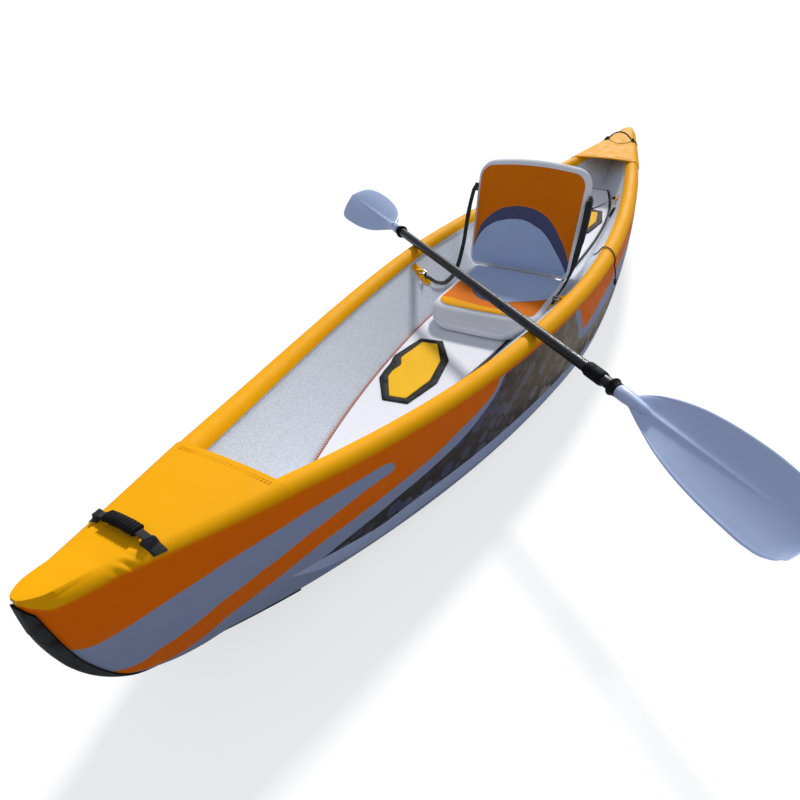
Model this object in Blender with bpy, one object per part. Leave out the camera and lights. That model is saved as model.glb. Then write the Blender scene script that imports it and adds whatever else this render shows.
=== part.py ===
"""Inflatable canoe with a seat, its straps and a double-bladed paddle.

Metres, +X to the bow, +Y to port, +Z up. The origin is the middle of the flat bottom.
"""
import math

import bmesh
import bpy
from mathutils import Matrix, Vector

# Hull sizes
LENGTH = 3.60
HALF = LENGTH / 2
BEAM_HALF = 0.363
TIP_HALF = 0.022
TIP_ROUND = 0.045
BEAM_POWER = 1.82
GUNWALE_RADIUS = 0.0325
TOP_MID = 0.312
TOP_BOW = 0.476
TOP_STERN = 0.410
TOP_POWER = 2.9
CHINE_HALF = 0.344
CHINE_POWER = 1.69
CHINE_MOST = 0.97
CHINE_ROUND = 0.030
ROCKER = 0.157
ROCKER_FLAT = 0.2
ROCKER_POWER = 2.4
STEM_LENGTH = 0.269
OUTER_BULGE = 0.010

# Floor
FLOOR_THICK = 0.150
FLOOR_ROUND = FLOOR_THICK / 2
FLOOR_HALF = 0.165
FLOOR_BOW = 1.153
FLOOR_BOW_POWER = 2.36
FLOOR_STERN = 1.40
FLOOR_STERN_POWER = 5.0
MAT_THICK = 0.0075
MAT_BOW = 1.10
MAT_STERN = -1.30
PIPE_RADIUS = 0.004

# Stations and general clearance
GAP = 0.0003
END_FIRST = 0.0015
END_ZONE = 0.4400
END_COUNT = 11
MID_COUNT = 18
FOREDECK_EDGE = 1.33
AFTERDECK_EDGE = -1.28
DECK_THICK = 0.003
GUARD_THICK = 0.0025
GUARD_TOP = 0.050
GUARD_END = 0.016

# Seat
SEAT_LENGTH = 0.41
SEAT_WIDTH = 0.360
SEAT_THICK = 0.058
SEAT_REAR_X = -0.168
SEAT_REAR_Y = 0.020
SEAT_YAW = math.radians(3.0)
BACK_HEIGHT = 0.385
BACK_WIDTH = 0.425
BACK_THICK = 0.030
BACK_Y = 0.008
BACK_X = -0.205
BACK_LEAN = math.radians(17.0)
COVER_THICK = 0.004
BOLSTER_SIZE = (0.032, 0.29, 0.029)

# Paddle
SHAFT_RADIUS = 0.0152
SHAFT_ANGLE = math.radians(53.9)
FAR_RING = Vector((-0.067, -0.437))
RING_SPAN = 1.265
BLADE_REACH = 0.53
BLADE_TILT = math.radians(-40.0)
BLADE_SPOON = 0.020
BLADE_THICK = 0.0040
SLEEVE_RADIUS = 0.0185
SLEEVE_LENGTH = 0.062
RING_RADIUS = 0.026

# Valves
VALVE_BAY = 2
VALVE_FLOOR_X = -0.52
VALVE_FLOOR_Y = 0.0
VALVE_RADIUS = 0.029
VALVE_POCKET = 0.024
PLUNGER_TRAVEL = 0.004


def clear_scene():
    """Remove what the start file holds."""
    for obj in list(bpy.data.objects):
        bpy.data.objects.remove(obj, do_unlink=True)


def collection(name):
    """Return a collection linked to the scene."""
    made = bpy.data.collections.new(name)
    bpy.context.scene.collection.children.link(made)
    return made


clear_scene()
PARTS = collection("inflatable_canoe")
CUTTERS = collection("cutters")


def material(name, colour, roughness, metallic=0.0):
    """Return a Principled material of one colour."""
    mat = bpy.data.materials.new(name)
    mat.use_nodes = True
    shader = mat.node_tree.nodes["Principled BSDF"]
    shader.inputs["Base Color"].default_value = (*colour, 1.0)
    shader.inputs["Roughness"].default_value = roughness
    shader.inputs["Metallic"].default_value = metallic
    return mat


ORANGE = material("orange_fabric", (0.90, 0.42, 0.02), 0.6)
LIGHT_GREY = material("light_grey_fabric", (0.72, 0.74, 0.78), 0.7)
FLOOR_GREY = material("floor_vinyl", (0.80, 0.82, 0.86), 0.6)
WHITE_MAT = material("white_foam", (0.88, 0.89, 0.92), 0.8)
BLACK_WEB = material("black_webbing", (0.03, 0.03, 0.035), 0.8)
BLACK_RUBBER = material("black_rubber", (0.02, 0.02, 0.02), 0.7)
SEAT_WHITE = material("seat_foam", (0.85, 0.86, 0.88), 0.7)
SEAT_ORANGE = material("seat_cover", (0.85, 0.38, 0.04), 0.7)
PAD_ORANGE = material("pad_foam", (0.92, 0.55, 0.03), 0.8)
PLASTIC_BLACK = material("black_plastic", (0.03, 0.03, 0.03), 0.4)
SHAFT_BLACK = material("shaft_fibre", (0.02, 0.022, 0.025), 0.35)
BLADE_WHITE = material("blade_plastic", (0.78, 0.82, 0.90), 0.35)
STEEL = material("stainless", (0.70, 0.71, 0.72), 0.3, 1.0)


def place(obj, mat, target=None):
    """Link an object, give it its material and shade it smooth."""
    (target or PARTS).objects.link(obj)
    obj.data.materials.clear()
    obj.data.materials.append(mat)
    for poly in obj.data.polygons:
        poly.use_smooth = True
    return obj


def from_bmesh(name, mesh, mat, target=None):
    """Make an object of a bmesh."""
    bmesh.ops.remove_doubles(mesh, verts=mesh.verts, dist=1e-6)
    bmesh.ops.dissolve_degenerate(mesh, edges=mesh.edges, dist=1e-6)
    bmesh.ops.recalc_face_normals(mesh, faces=mesh.faces)
    data = bpy.data.meshes.new(name)
    mesh.to_mesh(data)
    mesh.free()
    return place(bpy.data.objects.new(name, data), mat, target)


def from_curve(curve_obj, name, mat, target=None):
    """Turn a curve object into a mesh object with welded caps."""
    bpy.context.view_layer.update()
    graph = bpy.context.evaluated_depsgraph_get()
    data = bpy.data.meshes.new_from_object(curve_obj.evaluated_get(graph))
    matrix = curve_obj.matrix_world.copy()
    curve = curve_obj.data
    bpy.data.objects.remove(curve_obj, do_unlink=True)
    bpy.data.curves.remove(curve)
    mesh = bmesh.new()
    mesh.from_mesh(data)
    mesh.transform(matrix)
    bpy.data.meshes.remove(data)
    bmesh.ops.remove_doubles(mesh, verts=mesh.verts, dist=1e-5)
    return from_bmesh(name, mesh, mat, target)


def plate(name, outlines, thick, matrix, mat, target=None):
    """Extrude closed outlines to both sides of their plane by half the thickness."""
    curve = bpy.data.curves.new(name + "_curve", "CURVE")
    curve.dimensions = "2D"
    curve.fill_mode = "BOTH"
    curve.extrude = thick / 2
    for outline in outlines:
        spline = curve.splines.new("POLY")
        spline.points.add(len(outline) - 1)
        for point, (u, v) in zip(spline.points, outline):
            point.co = (u, v, 0, 1)
        spline.use_cyclic_u = True
    obj = bpy.data.objects.new(name + "_curve", curve)
    bpy.context.scene.collection.objects.link(obj)
    obj.matrix_world = matrix
    return from_curve(obj, name, mat, target)


def tube(name, points, radius, mat, resolution=2, cyclic=False, target=None):
    """Sweep a round section along a polyline."""
    curve = bpy.data.curves.new(name + "_curve", "CURVE")
    curve.dimensions = "3D"
    curve.bevel_depth = radius
    curve.bevel_resolution = resolution
    curve.use_fill_caps = not cyclic
    spline = curve.splines.new("POLY")
    spline.points.add(len(points) - 1)
    for item, point in zip(spline.points, points):
        item.co = (*point, 1)
    spline.use_cyclic_u = cyclic
    obj = bpy.data.objects.new(name + "_curve", curve)
    bpy.context.scene.collection.objects.link(obj)
    return from_curve(obj, name, mat, target)


def lathe(name, profile, matrix, mat, steps=16, target=None):
    """Turn a closed profile of (radius, height) round the local Z axis."""
    mesh = bmesh.new()
    verts = [mesh.verts.new((radius, 0, height)) for radius, height in profile]
    edges = []
    for first, second in zip(verts, verts[1:] + verts[:1]):
        if first.co.x > 1e-6 or second.co.x > 1e-6:
            edges.append(mesh.edges.new((first, second)))
    bmesh.ops.spin(mesh, geom=verts + edges, cent=(0, 0, 0), axis=(0, 0, 1),
                   angle=math.tau, steps=steps, use_duplicate=False)
    mesh.transform(matrix)
    return from_bmesh(name, mesh, mat, target)


def cut(obj, cutter, operation="DIFFERENCE"):
    """Apply an exact Boolean and drop the cutter."""
    modifier = obj.modifiers.new("cut", "BOOLEAN")
    modifier.solver = "EXACT"
    modifier.operation = operation
    modifier.object = cutter
    bpy.context.view_layer.update()
    graph = bpy.context.evaluated_depsgraph_get()
    data = bpy.data.meshes.new_from_object(obj.evaluated_get(graph))
    obj.modifiers.clear()
    old = obj.data
    obj.data = data
    bpy.data.meshes.remove(old)
    bpy.data.objects.remove(cutter, do_unlink=True)
    return obj


def frame_matrix(origin, x_axis, z_axis):
    """Return a matrix with its Z and, nearly, its X along the given directions."""
    z_dir = Vector(z_axis).normalized()
    y_dir = z_dir.cross(Vector(x_axis)).normalized()
    x_dir = y_dir.cross(z_dir)
    matrix = Matrix((x_dir, y_dir, z_dir)).transposed().to_4x4()
    matrix.translation = Vector(origin)
    return matrix


# Hull curves along the length

def share(x):
    """Return the distance from the middle as a share of the half length."""
    return abs(x) / HALF


def half_beam(x):
    """Return the outer half beam at the gunwale."""
    width = TIP_HALF + (BEAM_HALF - TIP_HALF) * (1 - share(x) ** BEAM_POWER)
    past = (abs(x) - (HALF - TIP_ROUND)) / TIP_ROUND
    return width * math.sqrt(1 - past * past) if past > 0 else width


def gunwale_top(x):
    """Return the height of the gunwale's top."""
    end = TOP_BOW if x > 0 else TOP_STERN
    return TOP_MID + (end - TOP_MID) * share(x) ** TOP_POWER


def gunwale_radius(x):
    """Return the radius of the gunwale's round."""
    return min(GUNWALE_RADIUS, 0.9 * half_beam(x))


def floor_rise(x):
    """Return how far the bottom has risen."""
    past = max(0.0, share(x) - ROCKER_FLAT) / (1 - ROCKER_FLAT)
    return ROCKER * past ** ROCKER_POWER


def hull_bottom(x):
    """Return the lowest height of the hull, with the round of the stem."""
    past = (abs(x) - (HALF - STEM_LENGTH)) / STEM_LENGTH
    base = floor_rise(min(abs(x), HALF - STEM_LENGTH))
    if past <= 0:
        return floor_rise(x)
    end = (TOP_BOW if x > 0 else TOP_STERN) - GUNWALE_RADIUS
    turn = math.acos(min(1.0, past) ** 1.25)
    return end - (end - base) * math.sin(turn) ** 0.9


def chine_half(x):
    """Return the outer half width at the bottom."""
    width = 0.004 + CHINE_HALF * (1 - share(x) ** CHINE_POWER)
    return min(width, CHINE_MOST * half_beam(x))


def floor_half(x):
    """Return the half width of the floor's flat top, below zero where it has closed."""
    if x > 0:
        return FLOOR_HALF * (1 - (x / FLOOR_BOW) ** FLOOR_BOW_POWER)
    return FLOOR_HALF * (1 - (-x / FLOOR_STERN) ** FLOOR_STERN_POWER)


def bay_middle(count):
    """Return the middle of the bay between two stations, counted from the afterdeck's edge."""
    return AFTERDECK_EDGE + (FOREDECK_EDGE - AFTERDECK_EDGE) / MID_COUNT * (count + 0.5)


def stations():
    """Return the places along the length where sections stand."""
    ends = [HALF - END_FIRST - END_ZONE * (k / (END_COUNT - 1)) ** 2 for k in range(END_COUNT)]
    step = (FOREDECK_EDGE - AFTERDECK_EDGE) / MID_COUNT
    middle = [AFTERDECK_EDGE + step * k for k in range(MID_COUNT + 1)]
    return sorted([-x for x in ends] + middle + ends)


STATIONS = stations()
GUARD_BOW = STATIONS[-END_COUNT]
GUARD_STERN = STATIONS[END_COUNT - 3]


def along(x, values):
    """Read a list that has one value for each station at any place between them."""
    for (x0, x1), (v0, v1) in zip(zip(STATIONS, STATIONS[1:]), zip(values, values[1:])):
        if x0 <= x <= x1:
            return v0 + (v1 - v0) * (x - x0) / (x1 - x0)
    return values[0] if x < STATIONS[0] else values[-1]


RISES = [floor_rise(x) for x in STATIONS]
FLOOR_HALVES = [floor_half(x) for x in STATIONS]


def floor_top(x):
    """Return the height of the floor chamber's top as its facets have it."""
    return along(x, RISES) + FLOOR_THICK


ARC_ANGLES = (67.5, 45, 22.5, 0, -22.5, -50)


def section(x):
    """Return the (y, z) points of the port side chamber's section, from its inner bottom edge outward."""
    gap = GAP / 2
    beam = half_beam(x)
    radius = gunwale_radius(x)
    crest = gunwale_top(x)
    bottom = hull_bottom(x)
    chine = chine_half(x)
    turn = min(CHINE_ROUND, 0.6 * chine, 0.4 * (crest - radius - bottom) + 0.002)
    half = floor_half(x)
    centre = floor_rise(x) + FLOOR_ROUND
    arc = FLOOR_ROUND + GAP
    closed = half <= -FLOOR_ROUND
    points = []
    if closed:
        points.append((gap, bottom))
    else:
        points.append((max(gap, half + arc * math.cos(math.radians(50)) + 0.004), bottom))
    points.append((chine - turn, bottom))
    for angle in (-65, -40, -15):
        a = math.radians(angle)
        points.append((chine - turn + turn * math.cos(a), bottom + turn + turn * math.sin(a)))
    low = Vector(points[-1])
    high = Vector((beam, crest - radius))
    face = high - low
    guard = GUARD_END + (GUARD_TOP - GUARD_END) * max(0.0, share(x) - 0.76) / 0.24
    band = min(0.45, max(0.02, (guard - turn * 0.7) / face.length))
    bulge = min(OUTER_BULGE, 0.04 * face.length)
    normal = Vector((face.y, -face.x)).normalized()
    for t in (band, band + (1 - band) / 3, band + (1 - band) * 2 / 3):
        points.append(tuple(low + face * t + normal * (bulge * 4 * t * (1 - t))))
    inner = beam - radius
    end_angle = 180.0
    if inner - radius < gap:
        end_angle = math.degrees(math.acos((gap - inner) / radius))
    angles = [22.5 * k for k in range(5)] + [90 + (end_angle - 90) * k / 4 for k in range(1, 5)]
    for angle in angles:
        a = math.radians(angle)
        points.append((max(gap, inner + radius * math.cos(a)), crest - radius + radius * math.sin(a)))
    last = Vector(points[-1])
    seat = Vector((half, floor_rise(x) + FLOOR_THICK + GAP))
    if half < gap:
        if last.x > gap + 1e-6:
            t = (last.x - gap) / (last.x - half)
            seat = last + (seat - last) * t
        else:
            seat = Vector((gap, last.y - (last.y - bottom) * 0.25))
    points.append(tuple(last + (seat - last) / 3))
    points.append(tuple(last + (seat - last) * 2 / 3))
    points.append(tuple(seat))
    count = len(ARC_ANGLES)
    for k, angle in enumerate(ARC_ANGLES, start=1):
        a = math.radians(angle)
        if closed:
            points.append((gap, seat.y + (bottom - seat.y) * k / (count + 1)))
        else:
            points.append((max(gap, half + arc * math.cos(a)), centre + arc * math.sin(a)))
    return points


SECTIONS = [section(x) for x in STATIONS]
FACE_TOP = 8
CREST = 12
INNER_TOP = 16
INNER_END = 19


def loft(mesh, rings, caps=True, close=True):
    """Join rings of points with triangles that all lean the same way."""
    rows = [[mesh.verts.new(point) for point in ring] for ring in rings]
    count = len(rows[0])
    for first, second in zip(rows, rows[1:]):
        for j in range(count if close else count - 1):
            k = (j + 1) % count
            mesh.faces.new((first[j], second[j], second[k]))
            mesh.faces.new((first[j], second[k], first[k]))
    if caps:
        mesh.faces.new(rows[0])
        mesh.faces.new(list(reversed(rows[-1])))
    return rows


def side_chamber(name, side):
    """Return one inflated side wall."""
    mesh = bmesh.new()
    loft(mesh, [[(x, side * y, z) for y, z in ring] for x, ring in zip(STATIONS, SECTIONS)])
    return from_bmesh(name, mesh, ORANGE)


def floor_chamber():
    """Return the inflated floor."""
    rings = []
    for x in STATIONS:
        half = floor_half(x)
        if half < -FLOOR_ROUND + 0.004:
            continue
        limit = 90.0 if half >= 0 else math.degrees(math.acos(-half / FLOOR_ROUND))
        centre = floor_rise(x) + FLOOR_ROUND
        port = []
        for angle in (90,) + ARC_ANGLES + (-70, -90):
            a = math.radians(max(-limit, min(limit, angle)))
            port.append((max(0.0, half + FLOOR_ROUND * math.cos(a)), centre + FLOOR_ROUND * math.sin(a)))
        ring = [(x, y, z) for y, z in port] + [(x, -y, z) for y, z in reversed(port)]
        rings.append(ring)
    mesh = bmesh.new()
    rows = [[mesh.verts.new(point) for point in ring] for ring in rings]
    count = len(rows[0])
    half_count = count // 2
    for first, second in zip(rows, rows[1:]):
        for j in range(count):
            k = (j + 1) % count
            if j < half_count:
                mesh.faces.new((first[j], second[j], second[k]))
                mesh.faces.new((first[j], second[k], first[k]))
            else:
                mesh.faces.new((first[k], second[k], second[j]))
                mesh.faces.new((first[k], second[j], first[j]))
    mesh.faces.new(rows[0])
    mesh.faces.new(list(reversed(rows[-1])))
    return from_bmesh("floor_chamber", mesh, FLOOR_GREY)


def skin(name, low, high, first, last, thick, mat, fold=None):
    """Return a cover that lies on the hull from station low to station high.

    It takes the section's points from first to last, and the same on the other side.
    """
    rows = []
    for i in range(low, high + 1):
        x = STATIONS[i]
        port = [Vector((x, y, z)) for y, z in SECTIONS[i][first:last + 1]]
        if fold == "top":
            port.append(Vector((x, 0.0, port[-1].z)))
        else:
            port[0].y = 0.0
        rows.append(port)
    count = len(rows[0])

    def normal(i, j):
        """Return the outward normal of the rows' surface at a vertex."""
        before = rows[max(0, i - 1)][j]
        after = rows[min(len(rows) - 1, i + 1)][j]
        lengthwise = after - before
        crosswise = rows[i][min(count - 1, j + 1)] - rows[i][max(0, j - 1)]
        if fold == "top" and j == count - 1:
            crosswise = Vector((0, -1, 0))
        if fold != "top" and j == 0:
            crosswise = Vector((0, 1, 0))
        out = crosswise.cross(lengthwise)
        return out.normalized()

    sheets = []
    for offset in (GAP, GAP + thick):
        sheet = []
        for i in range(len(rows)):
            port = [rows[i][j] + normal(i, j) * offset for j in range(count)]
            other = [Vector((p.x, -p.y, p.z)) for p in port]
            if fold == "top":
                sheet.append(port + list(reversed(other[:-1])))
            else:
                sheet.append(list(reversed(other[1:])) + port)
        sheets.append(sheet)
    mesh = bmesh.new()
    width = len(sheets[0][0])
    grids = [[[mesh.verts.new(p) for p in row] for row in sheet] for sheet in sheets]
    middle = width // 2
    for grid in grids:
        for a, b in zip(grid, grid[1:]):
            for j in range(width - 1):
                k = j + 1
                leans = (j < middle) if fold == "top" else (j >= middle)
                if leans:
                    mesh.faces.new((a[j], b[j], b[k]))
                    mesh.faces.new((a[j], b[k], a[k]))
                else:
                    mesh.faces.new((a[k], b[k], b[j]))
                    mesh.faces.new((a[k], b[j], a[j]))
    inner, outer = grids
    for i in range(len(rows) - 1):
        for j in (0, width - 1):
            mesh.faces.new((inner[i][j], inner[i + 1][j], outer[i + 1][j], outer[i][j]))
    for i in (0, len(rows) - 1):
        for j in range(width - 1):
            mesh.faces.new((inner[i][j], inner[i][j + 1], outer[i][j + 1], outer[i][j]))
    return from_bmesh(name, mesh, mat)


def build_hull():
    """Make the chambers, the decks and the guards."""
    port = side_chamber("side_chamber_port", 1)
    starboard = side_chamber("side_chamber_starboard", -1)
    floor = floor_chamber()
    last = len(STATIONS) - 1
    bow = STATIONS.index(FOREDECK_EDGE) if FOREDECK_EDGE in STATIONS else END_COUNT + MID_COUNT
    skin("foredeck", bow, last, FACE_TOP, CREST, DECK_THICK, ORANGE, "top")
    skin("afterdeck", 0, END_COUNT, FACE_TOP, CREST, DECK_THICK, ORANGE, "top")
    skin("bow_guard", last - END_COUNT + 1, last, 0, 5, GUARD_THICK, BLACK_RUBBER)
    skin("stern_guard", 0, END_COUNT - 3, 0, 5, GUARD_THICK, BLACK_RUBBER)
    return port, starboard, floor


# Floor mat, piping and pads

def mat_outline(inset):
    """Return the mat's outline, counter-clockwise, starting at its starboard stern corner."""
    side = [x for x in STATIONS if MAT_STERN + 0.01 < x < MAT_BOW - 0.05]
    side = [MAT_STERN + inset] + side + [(side[-1] + MAT_BOW) / 2, MAT_BOW]
    widths = []
    for x in side:
        slope = (floor_half(x + 0.01) - floor_half(x - 0.01)) / 0.02
        widths.append(along(x, FLOOR_HALVES) - inset * math.sqrt(1 + slope * slope))
    widths[0] -= 0.006
    nose = widths[-1]
    starboard = [(x, -w) for x, w in zip(side, widths)]
    port = [(x, w) for x, w in zip(reversed(side), reversed(widths))]
    tip = []
    for angle in (-60, -30, 0, 30, 60):
        a = math.radians(angle)
        tip.append((MAT_BOW + nose * math.cos(a), nose * math.sin(a)))
    return starboard + tip + port


def lay_on_floor(obj, lift):
    """Cut a flat plate along the station lines and let it follow the floor."""
    mesh = bmesh.new()
    mesh.from_mesh(obj.data)
    low = min(v.co.x for v in mesh.verts)
    high = max(v.co.x for v in mesh.verts)
    for x in STATIONS:
        if low + 1e-4 < x < high - 1e-4:
            geometry = list(mesh.verts) + list(mesh.edges) + list(mesh.faces)
            bmesh.ops.bisect_plane(mesh, geom=geometry, dist=1e-7, plane_co=(x, 0, 0), plane_no=(1, 0, 0))
    for vert in mesh.verts:
        vert.co.z += floor_top(vert.co.x) + lift
    bmesh.ops.triangulate(mesh, faces=mesh.faces)
    mesh.to_mesh(obj.data)
    mesh.free()
    return obj


def pad_outline(length, width, end, centre, turn):
    """Return a stretched hexagon with blunt ends."""
    shape = [(-0.5, -end / 2), (-0.16, -width / 2), (0.2, -width / 2), (0.5, -end / 2),
             (0.5, end / 2), (0.16, width / 2), (-0.2, width / 2), (-0.5, end / 2)]
    points = []
    for u, v in shape:
        u *= length
        points.append((centre[0] + u * math.cos(turn) - v * math.sin(turn),
                       centre[1] + u * math.sin(turn) + v * math.cos(turn)))
    return points


PADS = {"front": ((0.572, -0.026), math.radians(12.0)), "rear": ((-0.86, 0.030), math.radians(-8.0))}
PAD_LENGTH = 0.385
PAD_WIDTH = 0.175
PAD_END = 0.075
PAD_BORDER = 0.024
PAD_THICK = 0.004


def build_floor(floor):
    """Make the mat, its piping and the heel pads."""
    mat = plate("floor_mat", [mat_outline(2 * PIPE_RADIUS + 5 * GAP)], MAT_THICK, Matrix(), WHITE_MAT)
    lay_on_floor(mat, GAP + MAT_THICK / 2)
    ring = [(x, y, floor_top(x) + GAP + PIPE_RADIUS) for x, y in mat_outline(PIPE_RADIUS + 2 * GAP)]
    tube("mat_piping", ring, PIPE_RADIUS, BLACK_WEB, resolution=1, cyclic=True)
    lift = GAP + MAT_THICK + GAP
    for name, (centre, turn) in PADS.items():
        outer = pad_outline(PAD_LENGTH, PAD_WIDTH, PAD_END, centre, turn)
        inner = pad_outline(PAD_LENGTH - 2 * PAD_BORDER, PAD_WIDTH - 2 * PAD_BORDER,
                            PAD_END - PAD_BORDER, centre, turn)
        middle = pad_outline(PAD_LENGTH - 2 * PAD_BORDER - 0.001, PAD_WIDTH - 2 * PAD_BORDER - 0.001,
                             PAD_END - PAD_BORDER - 0.001, centre, turn)
        border = plate(name + "_pad_border", [outer, inner], 0.003, Matrix(), BLACK_WEB)
        lay_on_floor(border, lift + 0.0015)
        pad = plate(name + "_pad", [middle], PAD_THICK, Matrix(), PAD_ORANGE)
        lay_on_floor(pad, lift + PAD_THICK / 2)
    return mat


# Valves

def facet_section(x):
    """Return the section's points as the facets between stations have them."""
    return [(along(x, [ring[j][0] for ring in SECTIONS]), along(x, [ring[j][1] for ring in SECTIONS]))
            for j in range(len(SECTIONS[0]))]


def wall_frame(x, share_up, side):
    """Return a matrix on the inner wall, its Z out of the wall into the cockpit."""
    here = facet_section(x)
    low = Vector(here[INNER_END])
    high = Vector(here[INNER_TOP])
    ahead = facet_section(x + 0.02)
    point = low + (high - low) * share_up
    next_low = Vector(ahead[INNER_END])
    next_high = Vector(ahead[INNER_TOP])
    next_point = next_low + (next_high - next_low) * share_up
    up = Vector((0, side * (high - low).x, (high - low).y)).normalized()
    forward = Vector((0.02, side * (next_point - point).x, (next_point - point).y)).normalized()
    normal = forward.cross(up) * (-side)
    if normal.y * side > 0:
        normal = -normal
    return frame_matrix((x, side * point.x, point.y), forward, normal)


def pocket(matrix, radius, depth):
    """Return a round cutter that stands above and below a surface."""
    return lathe("pocket", [(0, -depth), (radius, -depth), (radius, 0.02), (0, 0.02)],
                 matrix, STEEL, target=CUTTERS)


def valve(name, matrix, chamber):
    """Make one inflation valve in its chamber: body, plunger and screw cap."""
    rim = VALVE_RADIUS
    neck = rim - 0.009
    cut(chamber, pocket(matrix, rim + GAP, 0.003))
    cut(chamber, pocket(matrix, neck + GAP, VALVE_POCKET))
    cut(chamber, pocket(matrix, 0.008, VALVE_POCKET + PLUNGER_TRAVEL + 0.002))
    floor_z = -VALVE_POCKET + GAP
    body = [(0.0055, floor_z), (neck, floor_z), (neck, -0.0027), (rim, -0.0027), (rim, 0.001),
            (rim - 0.002, 0.003), (neck - 0.0025, 0.003), (neck - 0.0025, floor_z + 0.003), (0.0055, floor_z + 0.003)]
    lathe(name + "_body", body, matrix, PLASTIC_BLACK)
    stem = [(0, floor_z + 0.0005), (0.005, floor_z + 0.0005), (0.005, -0.008), (0.009, -0.0075), (0.009, -0.0035),
            (0.0, -0.003)]
    lathe(name + "_plunger", stem, matrix, PLASTIC_BLACK, steps=20)
    skirt = neck - 0.0025 - GAP
    cap = [(0, 0.0033), (0, 0.0105), (rim - 0.008, 0.0105), (rim - 0.004, 0.0085), (rim - 0.004, 0.0033),
           (skirt, 0.0033), (skirt, -0.002), (skirt - 0.0025, -0.002), (skirt - 0.0025, 0.0033)]
    lid = lathe(name + "_cap", cap, matrix, PLASTIC_BLACK)
    return lid


def build_valves(port, starboard, floor, mat):
    """Make the three valves."""
    valve("valve_port", wall_frame(bay_middle(VALVE_BAY), 0.5, 1), port)
    valve("valve_starboard", wall_frame(bay_middle(VALVE_BAY), 0.5, -1), starboard)
    height = floor_top(VALVE_FLOOR_X) + GAP + MAT_THICK
    slope = (floor_top(VALVE_FLOOR_X + 0.01) - floor_top(VALVE_FLOOR_X - 0.01)) / 0.02
    matrix = frame_matrix((VALVE_FLOOR_X, VALVE_FLOOR_Y, height), (1, 0, slope), (-slope, 0, 1))
    hole = pocket(matrix, VALVE_RADIUS + GAP, 0.02)
    cut(mat, hole)
    base = matrix @ Matrix.Translation((0, 0, -MAT_THICK - GAP))
    valve("valve_floor", base, floor)


# Handles

def arch(half, rise, count, power=2.6):
    """Return the (y, height) points of an arch from port to starboard."""
    points = []
    for k in range(count + 1):
        t = -1 + 2 * k / count
        y = half * math.sin(t * math.pi / 2)
        points.append((-y, rise * (1 - abs(y / half) ** power)))
    return points


HANDLE_X = 1.61
HANDLE_HALF = 0.058
HANDLE_RISE = 0.024
PIVOT_LIFT = 0.0095
CHAPE_SIZE = (0.024, 0.024)


def deck_top(x):
    """Return the height of a deck's upper side in the middle."""
    return along(x, [ring[CREST][1] for ring in SECTIONS]) + GAP + DECK_THICK


def deck_frame(x):
    """Return a matrix on the deck with X along the deck's slope."""
    slope = (deck_top(x + 0.01) - deck_top(x - 0.01)) / 0.02
    return frame_matrix((x, 0, deck_top(x)), (1, 0, slope), (-slope, 0, 1))


def box(name, size, matrix, mat, bevel=0.0, target=None):
    """Return a box with rounded edges."""
    mesh = bmesh.new()
    bmesh.ops.create_cube(mesh, size=1.0)
    bmesh.ops.scale(mesh, vec=size, verts=mesh.verts)
    if bevel:
        bmesh.ops.bevel(mesh, geom=list(mesh.edges), offset=bevel, segments=2, affect="EDGES")
    mesh.transform(matrix)
    return from_bmesh(name, mesh, mat, target)


def cylinder(name, radius, length, matrix, mat, steps=20, target=None):
    """Return a rod along the local Z axis."""
    profile = [(0, -length / 2), (radius, -length / 2), (radius, length / 2), (0, length / 2)]
    return lathe(name, profile, matrix, mat, steps, target)


def chapes(prefix, x, base, lift, bore, half):
    """Make the two sewn end patches of a handle, each with a bore for the handle's end."""
    depth = 0.014
    height = depth + lift + 0.006
    reach = GUNWALE_RADIUS + GAP + DECK_THICK + GAP
    ends = []
    for at in (x - 0.025, x + 0.025):
        crest = facet_section(at)[CREST]
        ends.append((at, crest[0], crest[1] - GUNWALE_RADIUS))
    for word, side in (("port", 1), ("starboard", -1)):
        low, high = [Vector((a, side * b, c)) for a, b, c in ends]
        centre = base @ Matrix.Translation((0, side * half, height / 2 - depth))
        block = box(prefix + "_patch_" + word, (CHAPE_SIZE[0], CHAPE_SIZE[1], height), centre, BLACK_WEB, 0.002)
        round_side = cylinder("round", reach, 0.2, frame_matrix((low + high) / 2, (0, 1, 0), high - low),
                              BLACK_WEB, 48, CUTTERS)
        cut(block, round_side)
        hole = cylinder("bore", bore, 0.016, base @ Matrix.Translation(
            (0, side * (half - CHAPE_SIZE[1] / 2 + 0.005), lift)) @ Matrix.Rotation(math.pi / 2, 4, "X"),
            BLACK_WEB, target=CUTTERS)
        cut(block, hole)


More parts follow.
